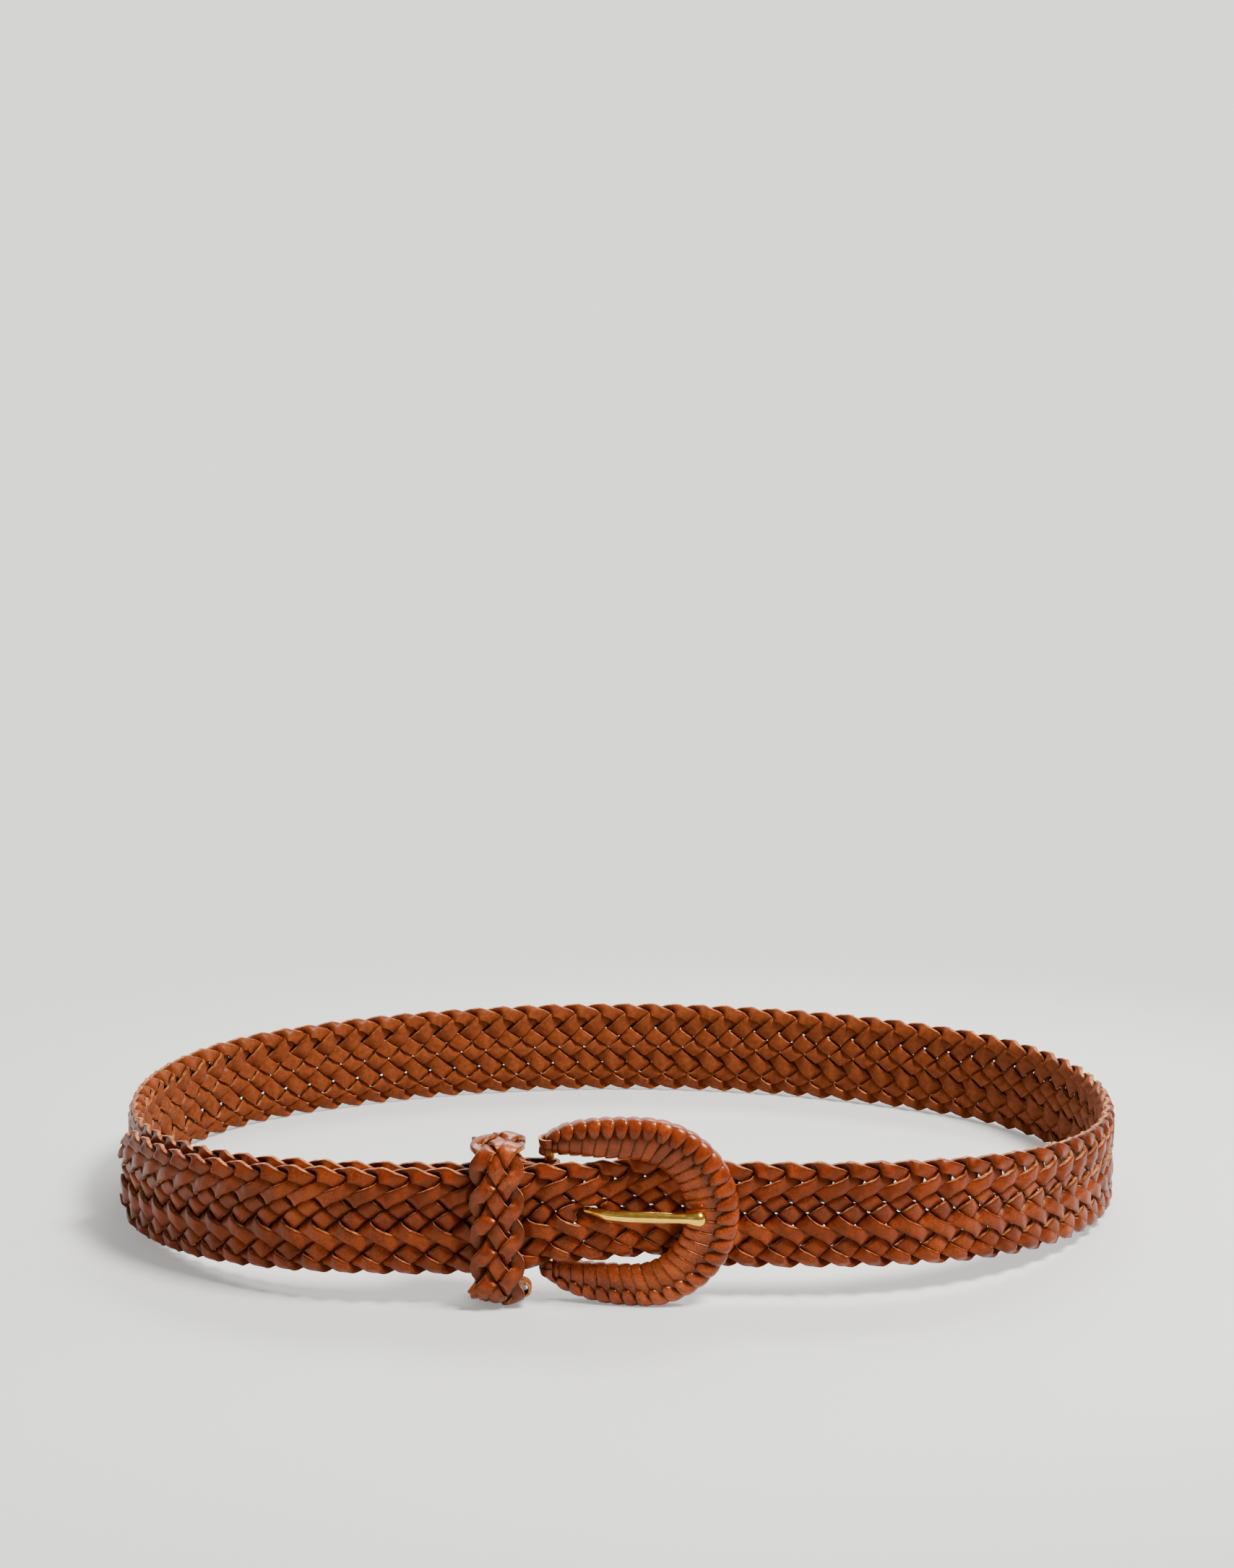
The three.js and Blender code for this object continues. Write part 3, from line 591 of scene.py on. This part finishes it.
def buckle_point(u, v, out):
    """World place, in millimetres, of a point in the buckle's plan and how far it stands out."""
    share = np.clip(u / (BUCKLE_REACH - 6), 0, 1)
    bow = BUCKLE_BOW * np.sin(math.pi / 2 * share)
    return np.stack([BAR_X + u, PLANE_Y - bow - out, BUCKLE_Z + v], -1)


def even_stops(count):
    """A function from a count of turns to t, with the turns evenly spaced along the band."""
    t = np.linspace(-1, 1, 801)
    inner, outer = buckle_edges(t)
    middle = 0.42 * inner + 0.58 * outer
    run = np.r_[0, np.cumsum(np.linalg.norm(np.diff(middle, axis=0), axis=1))]
    return lambda turns: np.interp(np.asarray(turns) / count * run[-1], run, t)


def band_place(t, q, lift):
    """A point on the wrapping: t along the frame, q round its section in quarter turns (0 at the
    outer edge, 1 in front, 2 at the inner edge, 3 behind), lift above the surface."""
    inner, outer = buckle_edges(t)
    half = np.linalg.norm(outer - inner, axis=-1) / 2
    radial = (outer - inner) / (2 * half[..., None])
    middle = (outer + inner) / 2
    slim = 1 - 0.30 * np.clip((np.abs(t) - 0.93) / 0.07, 0, 1) ** 2  # towards the arms' ends
    c, s = np.cos(q * math.pi / 2), np.sin(q * math.pi / 2)
    power = 0.80  # squarer than an ellipse
    depth = 0.75 - lift  # below the outline
    r = np.sign(c) * np.abs(c) ** power * (half * slim - depth)
    o = np.sign(s) * np.abs(s) ** power * (slim * BUCKLE_THICKNESS / 2 - depth)
    p = middle + radial * r[..., None]
    return buckle_point(p[..., 0], p[..., 1], o)


def strip(middle, qs, half_width, lift, thickness, tilt, dome, rough, seed):
    """One strip of lace lying on the wrapping: for each of its points the turn, q and height, and
    where in the lace's section it is. middle(q) is its middle line in turns."""
    local = np.random.default_rng(seed)
    across = np.array([-1, -0.98, -0.86, -0.5, 0.0, 0.5, 0.86, 0.98, 1, 0.9, 0.0, -0.9])
    top = np.array([0.35, 0.75, 0.93, 1.0, 1.0, 1.0, 0.93, 0.75, 0.35, 0.0, 0.0, 0.0])
    q = np.repeat(qs[:, None], len(across), axis=1)
    turns = middle(qs)[:, None] + across[None, :] * half_width(qs)[:, None]
    arch = dome(qs)[:, None] * (1 - across[None, :] ** 2)
    height = lift(qs)[:, None] + top[None, :] * thickness + tilt * across[None, :] + arch
    edge = np.abs(across[None, :]) > 0.95
    height = height + local.normal(0, 0.05, q.shape) * edge
    turns = turns + local.normal(0, rough, q.shape) * edge
    return turns, q, height, across[None, :], top[None, :] - 0.5


def knuckle_share(q):
    """How far round a knuckle q is: 0 at its two ends, 1 at its middle."""
    return np.sin(np.clip((q + 0.95) / 1.9, 0.001, 0.999) * math.pi)


def arm_cap(end, index, seed):
    """A short piece of lace turned over the end of an arm, from the front round to the back."""
    local = np.random.default_rng(seed)
    inner, outer = buckle_edges(np.array(float(end)))
    low, high = (inner[1], outer[1]) if end > 0 else (outer[1], inner[1])
    width = (high - low) * 0.56
    v0 = low + (high - low) * ((0.27, 0.62) if end > 0 else (0.73, 0.38))[index]
    angle = np.linspace(-1.75, 1.75, 34)[:, None]
    side = SECTION[None, :, 0]
    reach, depth = 2.7 - 0.35 * index, BUCKLE_THICKNESS / 2 - 0.15
    lift = SECTION[None, :, 1] * 1.1 + (0.5 if index else 0.1) + 0.25 * side * (1 if index else -1)
    lift = lift + local.normal(0, 0.03, lift.shape) * (np.abs(side) > 0.9)
    u = ARM_END_U + 1.0 - (reach + lift) * np.cos(angle)
    v = v0 + side * width / 2 * (1 - 0.18 * np.cos(angle))
    return buckle_point(u, v, (depth + lift) * np.sin(angle)), angle * 3


def buckle_wrap(material):
    """The lace wound round the frame: each turn is a flat band across the front's inner part and
    the back, and comes over the outer edge as a knuckle that locks over the next turn."""
    stop = even_stops(WRAP_COUNT)
    bodies = Bodies()
    for i in range(WRAP_COUNT):
        middle = i + 0.5
        band = strip(
            lambda q: middle + 0.04 * np.sin(3 * q + i), np.linspace(0.60, 3.4, 40),
            lambda q: np.full(q.shape, 0.54), lambda q: -0.22 - 0.9 * np.clip((1.02 - q) / 0.35, 0, 1),
            0.9, 0.24, lambda q: np.full(q.shape, 0.12), 0.008, 100 + i,
        )
        knuckle = strip(
            lambda q: middle - 0.30 + 0.62 * np.clip((0.92 - q) / 1.5, 0, 1.3),
            np.linspace(-0.95, 0.93, 32), lambda q: 0.10 + 0.53 * knuckle_share(q) ** 0.42,
            lambda q: -0.72 + 0.2 * knuckle_share(q) ** 0.3 + 0.65 * np.abs(np.sin(q * math.pi / 2)),
            1.15, -0.36, lambda q: 0.62 * knuckle_share(q) ** 0.5, 0.008, 300 + i,
        )
        # Painted shade: the band is darkened where it goes under the knuckles, and a knuckle at its two
        # ends.
        under = (
            np.clip((1.10 - band[1]) / 0.22, 0, 1),
            np.clip((0.18 - knuckle_share(knuckle[1])) / 0.18, 0, 1),
        )
        tone = RNG.uniform(-1, 1)
        for (turns, q, height, across, outward), dark in zip((band, knuckle), under):
            t = stop(np.clip(turns, 0.0, WRAP_COUNT))
            bodies.add(band_place(t, q, height), across=across, outward=outward, length=q * 10 + 37 * i,
                       tone=tone, painted_shade=0.85 * dark)
    for end in (-1, 1):
        for index in (0, 1):
            rings, length = arm_cap(end, index, 500 + 2 * index + end)
            # Painted shade: the caps over the arms' ends are darkened evenly.
            bodies.add(rings, across=SECTION[None, :, 0], outward=SECTION[None, :, 1], length=length,
                       tone=0.4 - index, painted_shade=0.35)
    obj = bodies.mesh_object("buckle_wrapping", material, "buckle", 55)
    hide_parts("buckle_lace")


# ---- Prong ----
def loft_round(name, spine, sides, material, body):
    """A round bar through (x, y, z, radius) places at one height, smoothed."""
    spine = np.array(spine, float)
    run = np.r_[0, np.cumsum(np.linalg.norm(np.diff(spine[:, :3], axis=0), axis=1))]
    fine = np.linspace(0, run[-1], 90)
    path = np.stack([np.interp(fine, run, spine[:, k]) for k in range(4)], -1)
    for _ in range(3):
        path[1:-1, :3] = (path[:-2, :3] + 2 * path[1:-1, :3] + path[2:, :3]) / 4
    tangent = np.gradient(path[:, :3], axis=0)
    tangent /= np.linalg.norm(tangent, axis=1)[:, None]
    up = np.array([0, 0, 1.0])
    side = np.cross(tangent, up)
    side /= np.linalg.norm(side, axis=1)[:, None]
    angle = np.linspace(0, 2 * math.pi, sides, endpoint=False)
    rings = (
        path[:, None, :3]
        + path[:, None, 3:4] * (np.cos(angle)[None, :, None] * side[:, None, :]
                                + np.sin(angle)[None, :, None] * up[None, None, :])
    )
    flat = rings.reshape(-1, 3)
    return mesh_object(name, flat, facing_out(flat, tube_faces(len(path), sides)), material, body)


def ring_bar(name, centre, radius, wire, material, body):
    """A ring round an upright axis, its section taller than it is wide."""
    points = []
    around, section = 40, 16
    for i in range(around):
        a = 2 * math.pi * i / around
        for j in range(section):
            b = 2 * math.pi * j / section
            r = radius + wire * math.cos(b)
            z = centre[2] + wire * 1.4 * math.sin(b)
            points.append((centre[0] + r * math.cos(a), centre[1] + r * math.sin(a), z))
    faces = tube_faces(around, section, closed=True)
    return mesh_object(name, points, facing_out(points, faces), material, body)


# ---- The lace that ties the keeper's plait behind it ----
def bent_lace(path, across, width, thickness, seed):
    """Rings of a flat lace along a path of (x, y, z) places, with across as its width's direction."""
    local = np.random.default_rng(seed)
    path = np.array(path, float)
    run = np.r_[0, np.cumsum(np.linalg.norm(np.diff(path, axis=0), axis=1))]
    fine = np.linspace(0, run[-1], 60)
    path = np.stack([np.interp(fine, run, path[:, k]) for k in range(3)], -1)
    for _ in range(20):
        path[1:-1] = (path[:-2] + 2 * path[1:-1] + path[2:]) / 4
    tangent = np.gradient(path, axis=0)
    tangent /= np.linalg.norm(tangent, axis=1)[:, None]
    across = np.array(across, float)
    side = across[None, :] - tangent * (tangent @ across)[:, None]
    side /= np.linalg.norm(side, axis=1)[:, None]
    up = np.cross(tangent, side)
    rough = local.normal(0, 0.04, (len(path), len(SECTION))) * (np.abs(SECTION[None, :, 0]) > 0.9)
    return (
        path[:, None, :]
        + ((SECTION[None, :, 0] * width / 2 + rough)[..., None] * side[:, None, :])
        + ((SECTION[None, :, 1] * thickness + rough)[..., None] * up[:, None, :])
    )


def keeper_tie_ends(material):
    """One lace through the back of the keeper: its left end hangs out short, its right end is
    rolled over into a small open loop."""
    back = (TIE_LO[1] + TIE_HI[1]) / 2
    left, right = KEEPER_X - KEEPER_WIDTH / 2, KEEPER_X + KEEPER_WIDTH / 2
    front = KEEPER_LO[1]
    tail = [
        (left + 1.0, front + 0.2, 5.2), (left + 2.4, front + 0.5, 7.2),
        (left + 3.0, front + 3.0, 6.8), (left + 2.6, back, 6.4), (KEEPER_X, back, 6.2),
    ]
    loop = [
        (KEEPER_X, back, 6.4), (right - 3.4, back - 1.0, 6.2), (right - 2.0, front + 7.0, 5.0),
        (right + 0.2, front + 4.0, 4.0), (right + 1.5, front + 3.0, 6.2), (right + 0.8, front + 2.8, 8.6),
        (right - 1.8, front + 2.8, 9.4), (right - 4.0, front + 3.0, 8.4),
    ]
    # Painted shade: the inner side of the rolled loop is darkened.
    hollow = np.array([right - 1.2, 7.2])  # the middle of the loop, which is dark inside
    bodies = Bodies()
    tail_rings = bent_lace(tail, (0.55, 0, -0.8), 3.6, 1.5, 71)
    loop_rings = bent_lace(loop, (0, 1, 0), 3.8, 1.1, 72)
    away = np.linalg.norm(loop_rings[..., ::2] - hollow, axis=-1)
    inside = away < away.mean(1, keepdims=True)
    for rings, painted_shade in ((tail_rings, 0.0), (loop_rings, 0.9 * inside)):
        bodies.add(rings, across=SECTION[None, :, 0], outward=SECTION[None, :, 1],
                   length=np.arange(len(rings))[:, None], painted_shade=painted_shade, tone=0.0)
    obj = bodies.mesh_object("keeper_tie_lace", material, "keeper", 50)
    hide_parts("keeper_tie")


# ---- Materials ----
class Nodes:
    """Short names for building a shader's node tree."""

    def __init__(self, name):
        self.material = bpy.data.materials.new(name)
        self.material.use_nodes = True
        self.tree = self.material.node_tree
        self.tree.nodes.clear()
        self.output = self.tree.nodes.new("ShaderNodeOutputMaterial")
        self.shader = self.tree.nodes.new("ShaderNodeBsdfPrincipled")
        self.link(self.shader.outputs["BSDF"], self.output.inputs["Surface"])
        self.coordinates = self.tree.nodes.new("ShaderNodeTexCoord").outputs["Object"]

    def link(self, a, b):
        self.tree.links.new(a, b)

    def put(self, value, socket):
        if isinstance(value, bpy.types.NodeSocket):
            self.link(value, socket)
        else:
            socket.default_value = value

    def noise(self, scale, detail=3.0, roughness=0.55):
        """Scale is in features per millimetre."""
        node = self.tree.nodes.new("ShaderNodeTexNoise")
        node.inputs["Scale"].default_value = scale / MM
        node.inputs["Detail"].default_value = detail
        node.inputs["Roughness"].default_value = roughness
        self.link(self.coordinates, node.inputs["Vector"])
        return node.outputs["Fac"]

    def cells(self, scale):
        node = self.tree.nodes.new("ShaderNodeTexVoronoi")
        node.inputs["Scale"].default_value = scale / MM
        self.link(self.coordinates, node.inputs["Vector"])
        return node.outputs["Distance"]

    def attribute(self, name):
        node = self.tree.nodes.new("ShaderNodeAttribute")
        node.attribute_name = name
        return node.outputs["Fac"]

    def math(self, operation, a, b=0.0, clamp=False):
        node = self.tree.nodes.new("ShaderNodeMath")
        node.operation = operation
        node.use_clamp = clamp
        self.put(a, node.inputs[0])
        self.put(b, node.inputs[1])
        return node.outputs[0]

    def between(self, value, low, high, to_low=0.0, to_high=1.0):
        node = self.tree.nodes.new("ShaderNodeMapRange")
        node.interpolation_type = "SMOOTHSTEP"
        for key, number in zip(("From Min", "From Max", "To Min", "To Max"), (low, high, to_low, to_high)):
            node.inputs[key].default_value = number
        self.link(value, node.inputs["Value"])
        return node.outputs["Result"]

    def mix(self, fac, a, b):
        node = self.tree.nodes.new("ShaderNodeMix")
        node.data_type = "RGBA"
        self.put(fac, node.inputs["Factor"])
        self.put(a, node.inputs["A"])
        self.put(b, node.inputs["B"])
        return node.outputs["Result"]

    def bump(self, height, strength, distance):
        node = self.tree.nodes.new("ShaderNodeBump")
        node.inputs["Strength"].default_value = strength
        node.inputs["Distance"].default_value = distance * MM
        self.link(height, node.inputs["Height"])
        self.link(node.outputs["Normal"], self.shader.inputs["Normal"])


def rgb(r, g, b):
    """A colour given as it is seen, turned into the renderer's own."""
    linear = [((c / 255 + 0.055) / 1.055) ** 2.4 if c > 10 else c / 255 / 12.92 for c in (r, g, b)]
    return (*linear, 1.0)


def leather_material(name, grains, laced=True, gloss=0.42, coat=0.06):
    """Smooth tanned leather in three depths of one colour. A laced one reads where in the lace's section it
    is, to show the pale cut edge and the rough flesh side, and it is darkened by painted shade where it dips
    or tucks under."""
    n = Nodes(name)
    dark, middle, light = grains
    broad = n.noise(0.035, 2.0)
    cloudy = n.noise(0.22, 4.0, 0.6)
    fine = n.noise(1.6, 3.0, 0.6)
    pores = n.cells(2.6)
    patches = n.math("ADD", n.math("MULTIPLY", fine, 0.35), n.math("MULTIPLY", broad, 0.65))
    colour = n.mix(n.between(cloudy, 0.30, 0.70), dark, middle)
    colour = n.mix(n.between(patches, 0.46, 0.68), colour, light)
    rough = n.between(fine, 0.2, 0.8, gloss - 0.07, gloss + 0.12)
    height = n.math("ADD", n.math("MULTIPLY", pores, 0.30), n.math("MULTIPLY", fine, 0.55))
    if laced:
        colour = n.mix(n.between(n.attribute("tone"), -1.0, 1.0, 0.0, 0.30), colour, dark)
        side = n.math("ABSOLUTE", n.attribute("across"))
        fray = n.math("MULTIPLY", n.math("SUBTRACT", n.noise(0.9, 4.0, 0.7), 0.5), 0.10)
        at_edge = n.between(n.math("ADD", side, fray), 0.955, 0.990)
        cut = n.math("MULTIPLY", at_edge, n.between(n.attribute("outward"), 0.42, 0.24))
        cut = n.math("MULTIPLY", cut, n.between(n.noise(0.16, 2.0), 0.34, 0.60, 0.25, 1.0))
        # Darker towards the lace's two sides, with a noisy boundary.
        side_noise = n.math("MULTIPLY", n.noise(0.30, 3.0), 0.25)
        darker = n.between(n.math("SUBTRACT", side, side_noise), 0.45, 0.85)
        colour = n.mix(n.math("MULTIPLY", darker, 0.50), colour, DEEP)
        # Painted shade: darkened towards DEEP where a lace dips under others, goes under a knuckle or lies
        # inside a loop.
        colour = n.mix(n.math("MULTIPLY", n.attribute("painted_shade"), 0.80, clamp=True), colour, DEEP)
        under = n.between(n.attribute("outward"), -0.36, -0.46)
        colour = n.mix(cut, colour, n.mix(n.between(n.noise(0.7, 3.0), 0.35, 0.65), *EDGES))
        colour = n.mix(under, colour, n.mix(n.between(n.noise(0.5, 4.0, 0.65), 0.30, 0.70), *FLESH))
        raw = n.math("MAXIMUM", cut, under)
        rough = n.math("ADD", rough, n.math("MULTIPLY", raw, 0.38), clamp=True)
        fibre = n.noise(5.0, 3.0, 0.7)
        height = n.math("ADD", height, n.math("MULTIPLY", n.math("MULTIPLY", fibre, raw), 2.2))
    n.link(colour, n.shader.inputs["Base Color"])
    n.link(rough, n.shader.inputs["Roughness"])
    n.shader.inputs["Specular IOR Level"].default_value = 0.36
    n.shader.inputs["Specular Tint"].default_value = (1.0, 0.46, 0.20, 1)
    n.shader.inputs["Coat Weight"].default_value = coat
    n.shader.inputs["Coat Roughness"].default_value = 0.25
    n.bump(height, 0.55, 0.10)
    return n.material


def metal_material(name, colour, darker, roughness):
    n = Nodes(name)
    haze = n.noise(0.25, 4.0, 0.6)
    n.link(n.mix(n.between(haze, 0.35, 0.75), colour, darker), n.shader.inputs["Base Color"])
    n.link(n.between(n.noise(0.8, 3.0), 0.2, 0.8, roughness, roughness + 0.10), n.shader.inputs["Roughness"])
    n.shader.inputs["Metallic"].default_value = 1.0
    n.bump(n.noise(2.0, 2.0), 0.10, 0.02)
    return n.material


def thread_material(name, colour, darker):
    n = Nodes(name)
    n.link(n.mix(n.between(n.noise(1.5, 3.0), 0.3, 0.7), colour, darker), n.shader.inputs["Base Color"])
    n.shader.inputs["Roughness"].default_value = 0.75
    n.bump(n.noise(4.0, 2.0), 0.4, 0.08)
    return n.material


EDGES = (rgb(190, 124, 76), rgb(140, 76, 40))
FLESH = (rgb(121, 55, 23), rgb(92, 38, 15))
# DEEP is the dark colour that painted shade darkens towards, and that the lace's sides darken towards.
DEEP = rgb(48, 13, 4)
STRAP_LEATHER = leather_material(
    "strap_leather_look", (rgb(80, 26, 8), rgb(120, 43, 15), rgb(150, 64, 26)), gloss=0.36)
WRAP_LEATHER = leather_material(
    "wrap_leather_look", (rgb(88, 29, 9), rgb(136, 52, 18), rgb(168, 76, 32)), gloss=0.27, coat=0.22)
KEEPER_LEATHER = leather_material(
    "keeper_leather_look", (rgb(86, 29, 9), rgb(136, 54, 21), rgb(170, 80, 38)), gloss=0.28, coat=0.18)
CHAPE_LEATHER = leather_material(
    "chape_leather_look", (rgb(86, 32, 12), rgb(114, 47, 18), rgb(136, 64, 28)), laced=False)
BRASS = metal_material("brass_look", rgb(244, 196, 88), rgb(226, 172, 66), 0.17)
THREAD = thread_material("thread_look", rgb(150, 88, 48), rgb(120, 64, 34))


# ---- The assembly ----
strap, eye_s = strap_route()
strap_weave = Weave(
    LACE_COUNT, PITCH, BELT_WIDTH, LACE_WIDTH, LACE_THICKNESS, STRAP_TOP, STRAP_ROWS, STRAP_ADVANCE)
middle_row_at = float(np.sum(STRAP_ADVANCE[:4])) * PITCH
first_offset = eye_s + middle_row_at + PITCH / 2  # puts a crossing's gap at the prong's eye


def strap_taper(s):
    share = np.clip((s - (strap.length - TAPER_LENGTH)) / TAPER_LENGTH, 0, 1)
    return np.sqrt(np.maximum(1 - 0.72 * share**2.2, 0.05))


for k in range(LACE_COUNT):
    lace = woven_lace(
        "braid_lace_%02d" % (k + 1), strap_weave, strap, first_offset + k * PITCH, LACE_THICKNESS,
        STRAP_LEATHER, "strap", warp=strap_warp(eye_s), seed=k + 1, taper=strap_taper,
    )
    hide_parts("strap_lace_%02d" % (k + 1))

keeper = keeper_route()
keeper_weave = Weave(
    KEEPER_LACE_COUNT, KEEPER_PITCH, KEEPER_WIDTH, KEEPER_LACE_WIDTH, KEEPER_LACE_THICKNESS, KEEPER_TOP,
    KEEPER_ROWS, KEEPER_ADVANCE)
for k in range(KEEPER_LACE_COUNT):
    lace = woven_lace(
        "keeper_braid_%d" % (k + 1), keeper_weave, keeper, 3.0 + k * KEEPER_PITCH, KEEPER_LACE_THICKNESS,
        KEEPER_LEATHER, "keeper", flip=1, seed=40 + k, step=0.5,
    )
    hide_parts("keeper_lace_%d" % (k + 1))

buckle_wrap(WRAP_LEATHER)

# The prong's middle line comes through the braid, lies along the opening and rests on the round side.
REST_Y = PLANE_Y - (BUCKLE_BOW + BUCKLE_THICKNESS / 2 + CLEAR + PRONG_RADIUS)
INNER_FACE_Y = PLANE_Y - OVERLAP_OFFSET + BRAID_HALF_THICKNESS
prong = loft_round("prong_shank", [
    (BAR_X + 2.4, PLANE_Y - 0.3, BUCKLE_Z, 0.9),
    (BAR_X + 6, PLANE_Y - 1.3, BUCKLE_Z, 1.1),
    (RAMP_END_X + 0.4, INNER_FACE_Y + 1.5, BUCKLE_Z, 1.1),
    (RAMP_END_X + 5, INNER_FACE_Y - 1, BUCKLE_Z, 1.3),
    (RAMP_END_X + 9.5, PLANE_Y + (REST_Y - PLANE_Y) * 0.74, BUCKLE_Z, 1.7),
    (RAMP_END_X + 15, PLANE_Y + (REST_Y - PLANE_Y) * 0.86, BUCKLE_Z, 1.85),
    (RAMP_END_X + 26, PLANE_Y + (REST_Y - PLANE_Y) * 0.95, BUCKLE_Z, 1.85),
    (PRONG_TIP_X - 8.6, REST_Y, BUCKLE_Z, 1.65),
    (PRONG_TIP_X - 5.8, REST_Y - 0.2, BUCKLE_Z, 1.7),
    (PRONG_TIP_X - 3.9, REST_Y - 0.4, BUCKLE_Z, 2.25),
    (PRONG_TIP_X - 2.2, REST_Y - 0.5, BUCKLE_Z, 2.45),
    (PRONG_TIP_X - 0.8, REST_Y - 0.5, BUCKLE_Z, 1.95),
    (PRONG_TIP_X, REST_Y - 0.5, BUCKLE_Z, 0.5),
], 28, BRASS, "prong")
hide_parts("prong")
eye = ring_bar("prong_eye", (BAR_X, PLANE_Y, BUCKLE_Z), BAR_RADIUS + 1.0, 0.75, BRASS, "prong")

keeper_tie_ends(KEEPER_LEATHER)

for node, material in (("buckle_frame", BRASS), ("chape", CHAPE_LEATHER), ("chape_thread", THREAD)):
    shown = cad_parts[node]
    shown.data.materials.clear()
    shown.data.materials.append(material)


# ---- Floor, light and camera ----
FLOOR_COLOURS = (rgb(191, 191, 189), rgb(194, 194, 192))
NEAR_GLOW = 0.27  # the paper's own light close to the belt, where the lamps do most
FAR_GLOW = 1.67  # and away from it
CAMERA_DISTANCE = 758.0  # millimetres in front of the heel bar
CAMERA_HEIGHT = 304.0
CAMERA_DIP = 10.63  # degrees below level


def floor_material():
    """Pale paper. Close to the belt it takes the belt's shadows; away from it, it is lit evenly."""
    n = Nodes("paper")
    mapping = n.tree.nodes.new("ShaderNodeMapping")
    mapping.inputs["Scale"].default_value = (0.77, 1.0, 1.0)
    n.link(n.coordinates, mapping.inputs["Vector"])
    distance = n.tree.nodes.new("ShaderNodeVectorMath")
    distance.operation = "LENGTH"
    n.link(mapping.outputs["Vector"], distance.inputs[0])
    far = n.between(distance.outputs["Value"], 0.20, 0.34)
    grain = n.mix(n.between(n.noise(0.004, 2.0), 0.3, 0.7), *FLOOR_COLOURS)
    n.link(n.mix(far, grain, (0, 0, 0, 1)), n.shader.inputs["Base Color"])
    n.shader.inputs["Emission Color"].default_value = (1.0, 1.0, 0.975, 1)
    glow = n.math("ADD", n.math("MULTIPLY", far, FAR_GLOW - NEAR_GLOW), NEAR_GLOW)
    n.link(glow, n.shader.inputs["Emission Strength"])
    n.shader.inputs["Roughness"].default_value = 0.9
    n.shader.inputs["Specular IOR Level"].default_value = 0.0
    return n.material


def sweep():
    """Paper that lies flat, then curves up behind the belt."""
    front, bend_from, radius, half_width = -2500.0, 1400.0, 1100.0, 4200.0
    profile = [(front, 0.0), (bend_from, 0.0)]
    for i in range(1, 25):
        a = math.pi / 2 * i / 24
        profile.append((bend_from + radius * math.sin(a), radius - radius * math.cos(a)))
    profile.append((bend_from + radius, 4200.0))
    points = [(x, y, z) for x in (-half_width, half_width) for y, z in profile]
    count = len(profile)
    faces = [(i, i + 1, count + i + 1, count + i) for i in range(count - 1)]
    paper = mesh_object("paper_sweep", points, faces, floor_material(), None)
    paper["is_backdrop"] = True


sweep()


def area_light(name, place, target, size, energy, colour):
    data = bpy.data.lights.new(name, "AREA")
    data.shape = "RECTANGLE"
    data.size, data.size_y = size
    data.energy = energy
    data.color = colour
    lamp = bpy.data.objects.new(name, data)
    lamp.location = place
    lamp.rotation_euler = (Vector(target) - Vector(place)).to_track_quat("-Z", "Y").to_euler()
    bpy.context.scene.collection.objects.link(lamp)


area_light("key", (0.66, -0.36, 1.30), (0.0, -0.02, 0.02), (0.42, 0.42), 56, (1.0, 0.985, 0.96))
area_light("back", (0.25, 0.80, 1.15), (0.0, 0.0, 0.03), (0.7, 0.4), 17, (1.0, 1.0, 1.0))
area_light("fill", (-1.1, -0.9, 0.7), (0.0, 0.0, 0.03), (1.2, 0.9), 0.8, (0.96, 0.98, 1.0))

world = bpy.data.worlds.new("studio")
world.use_nodes = True
world.node_tree.nodes["Background"].inputs["Color"].default_value = (0.86, 0.86, 0.86, 1)
world.node_tree.nodes["Background"].inputs["Strength"].default_value = 0.28
bpy.context.scene.world = world

camera_data = bpy.data.cameras.new("camera")
camera_data.sensor_fit = "VERTICAL"
camera_data.sensor_height = 36.0
camera_data.sensor_width = 36.0
camera_data.lens = 59.3
camera_data.clip_start = 0.05
camera_data.clip_end = 20.0
camera = bpy.data.objects.new("camera", camera_data)
camera.location = (-1.5 * MM, (PLANE_Y - CAMERA_DISTANCE) * MM, CAMERA_HEIGHT * MM)
camera.rotation_euler = (math.radians(90 - CAMERA_DIP), 0, 0)
bpy.context.scene.collection.objects.link(camera)
bpy.context.scene.camera = camera

write_bounds(size_lines, "visual")
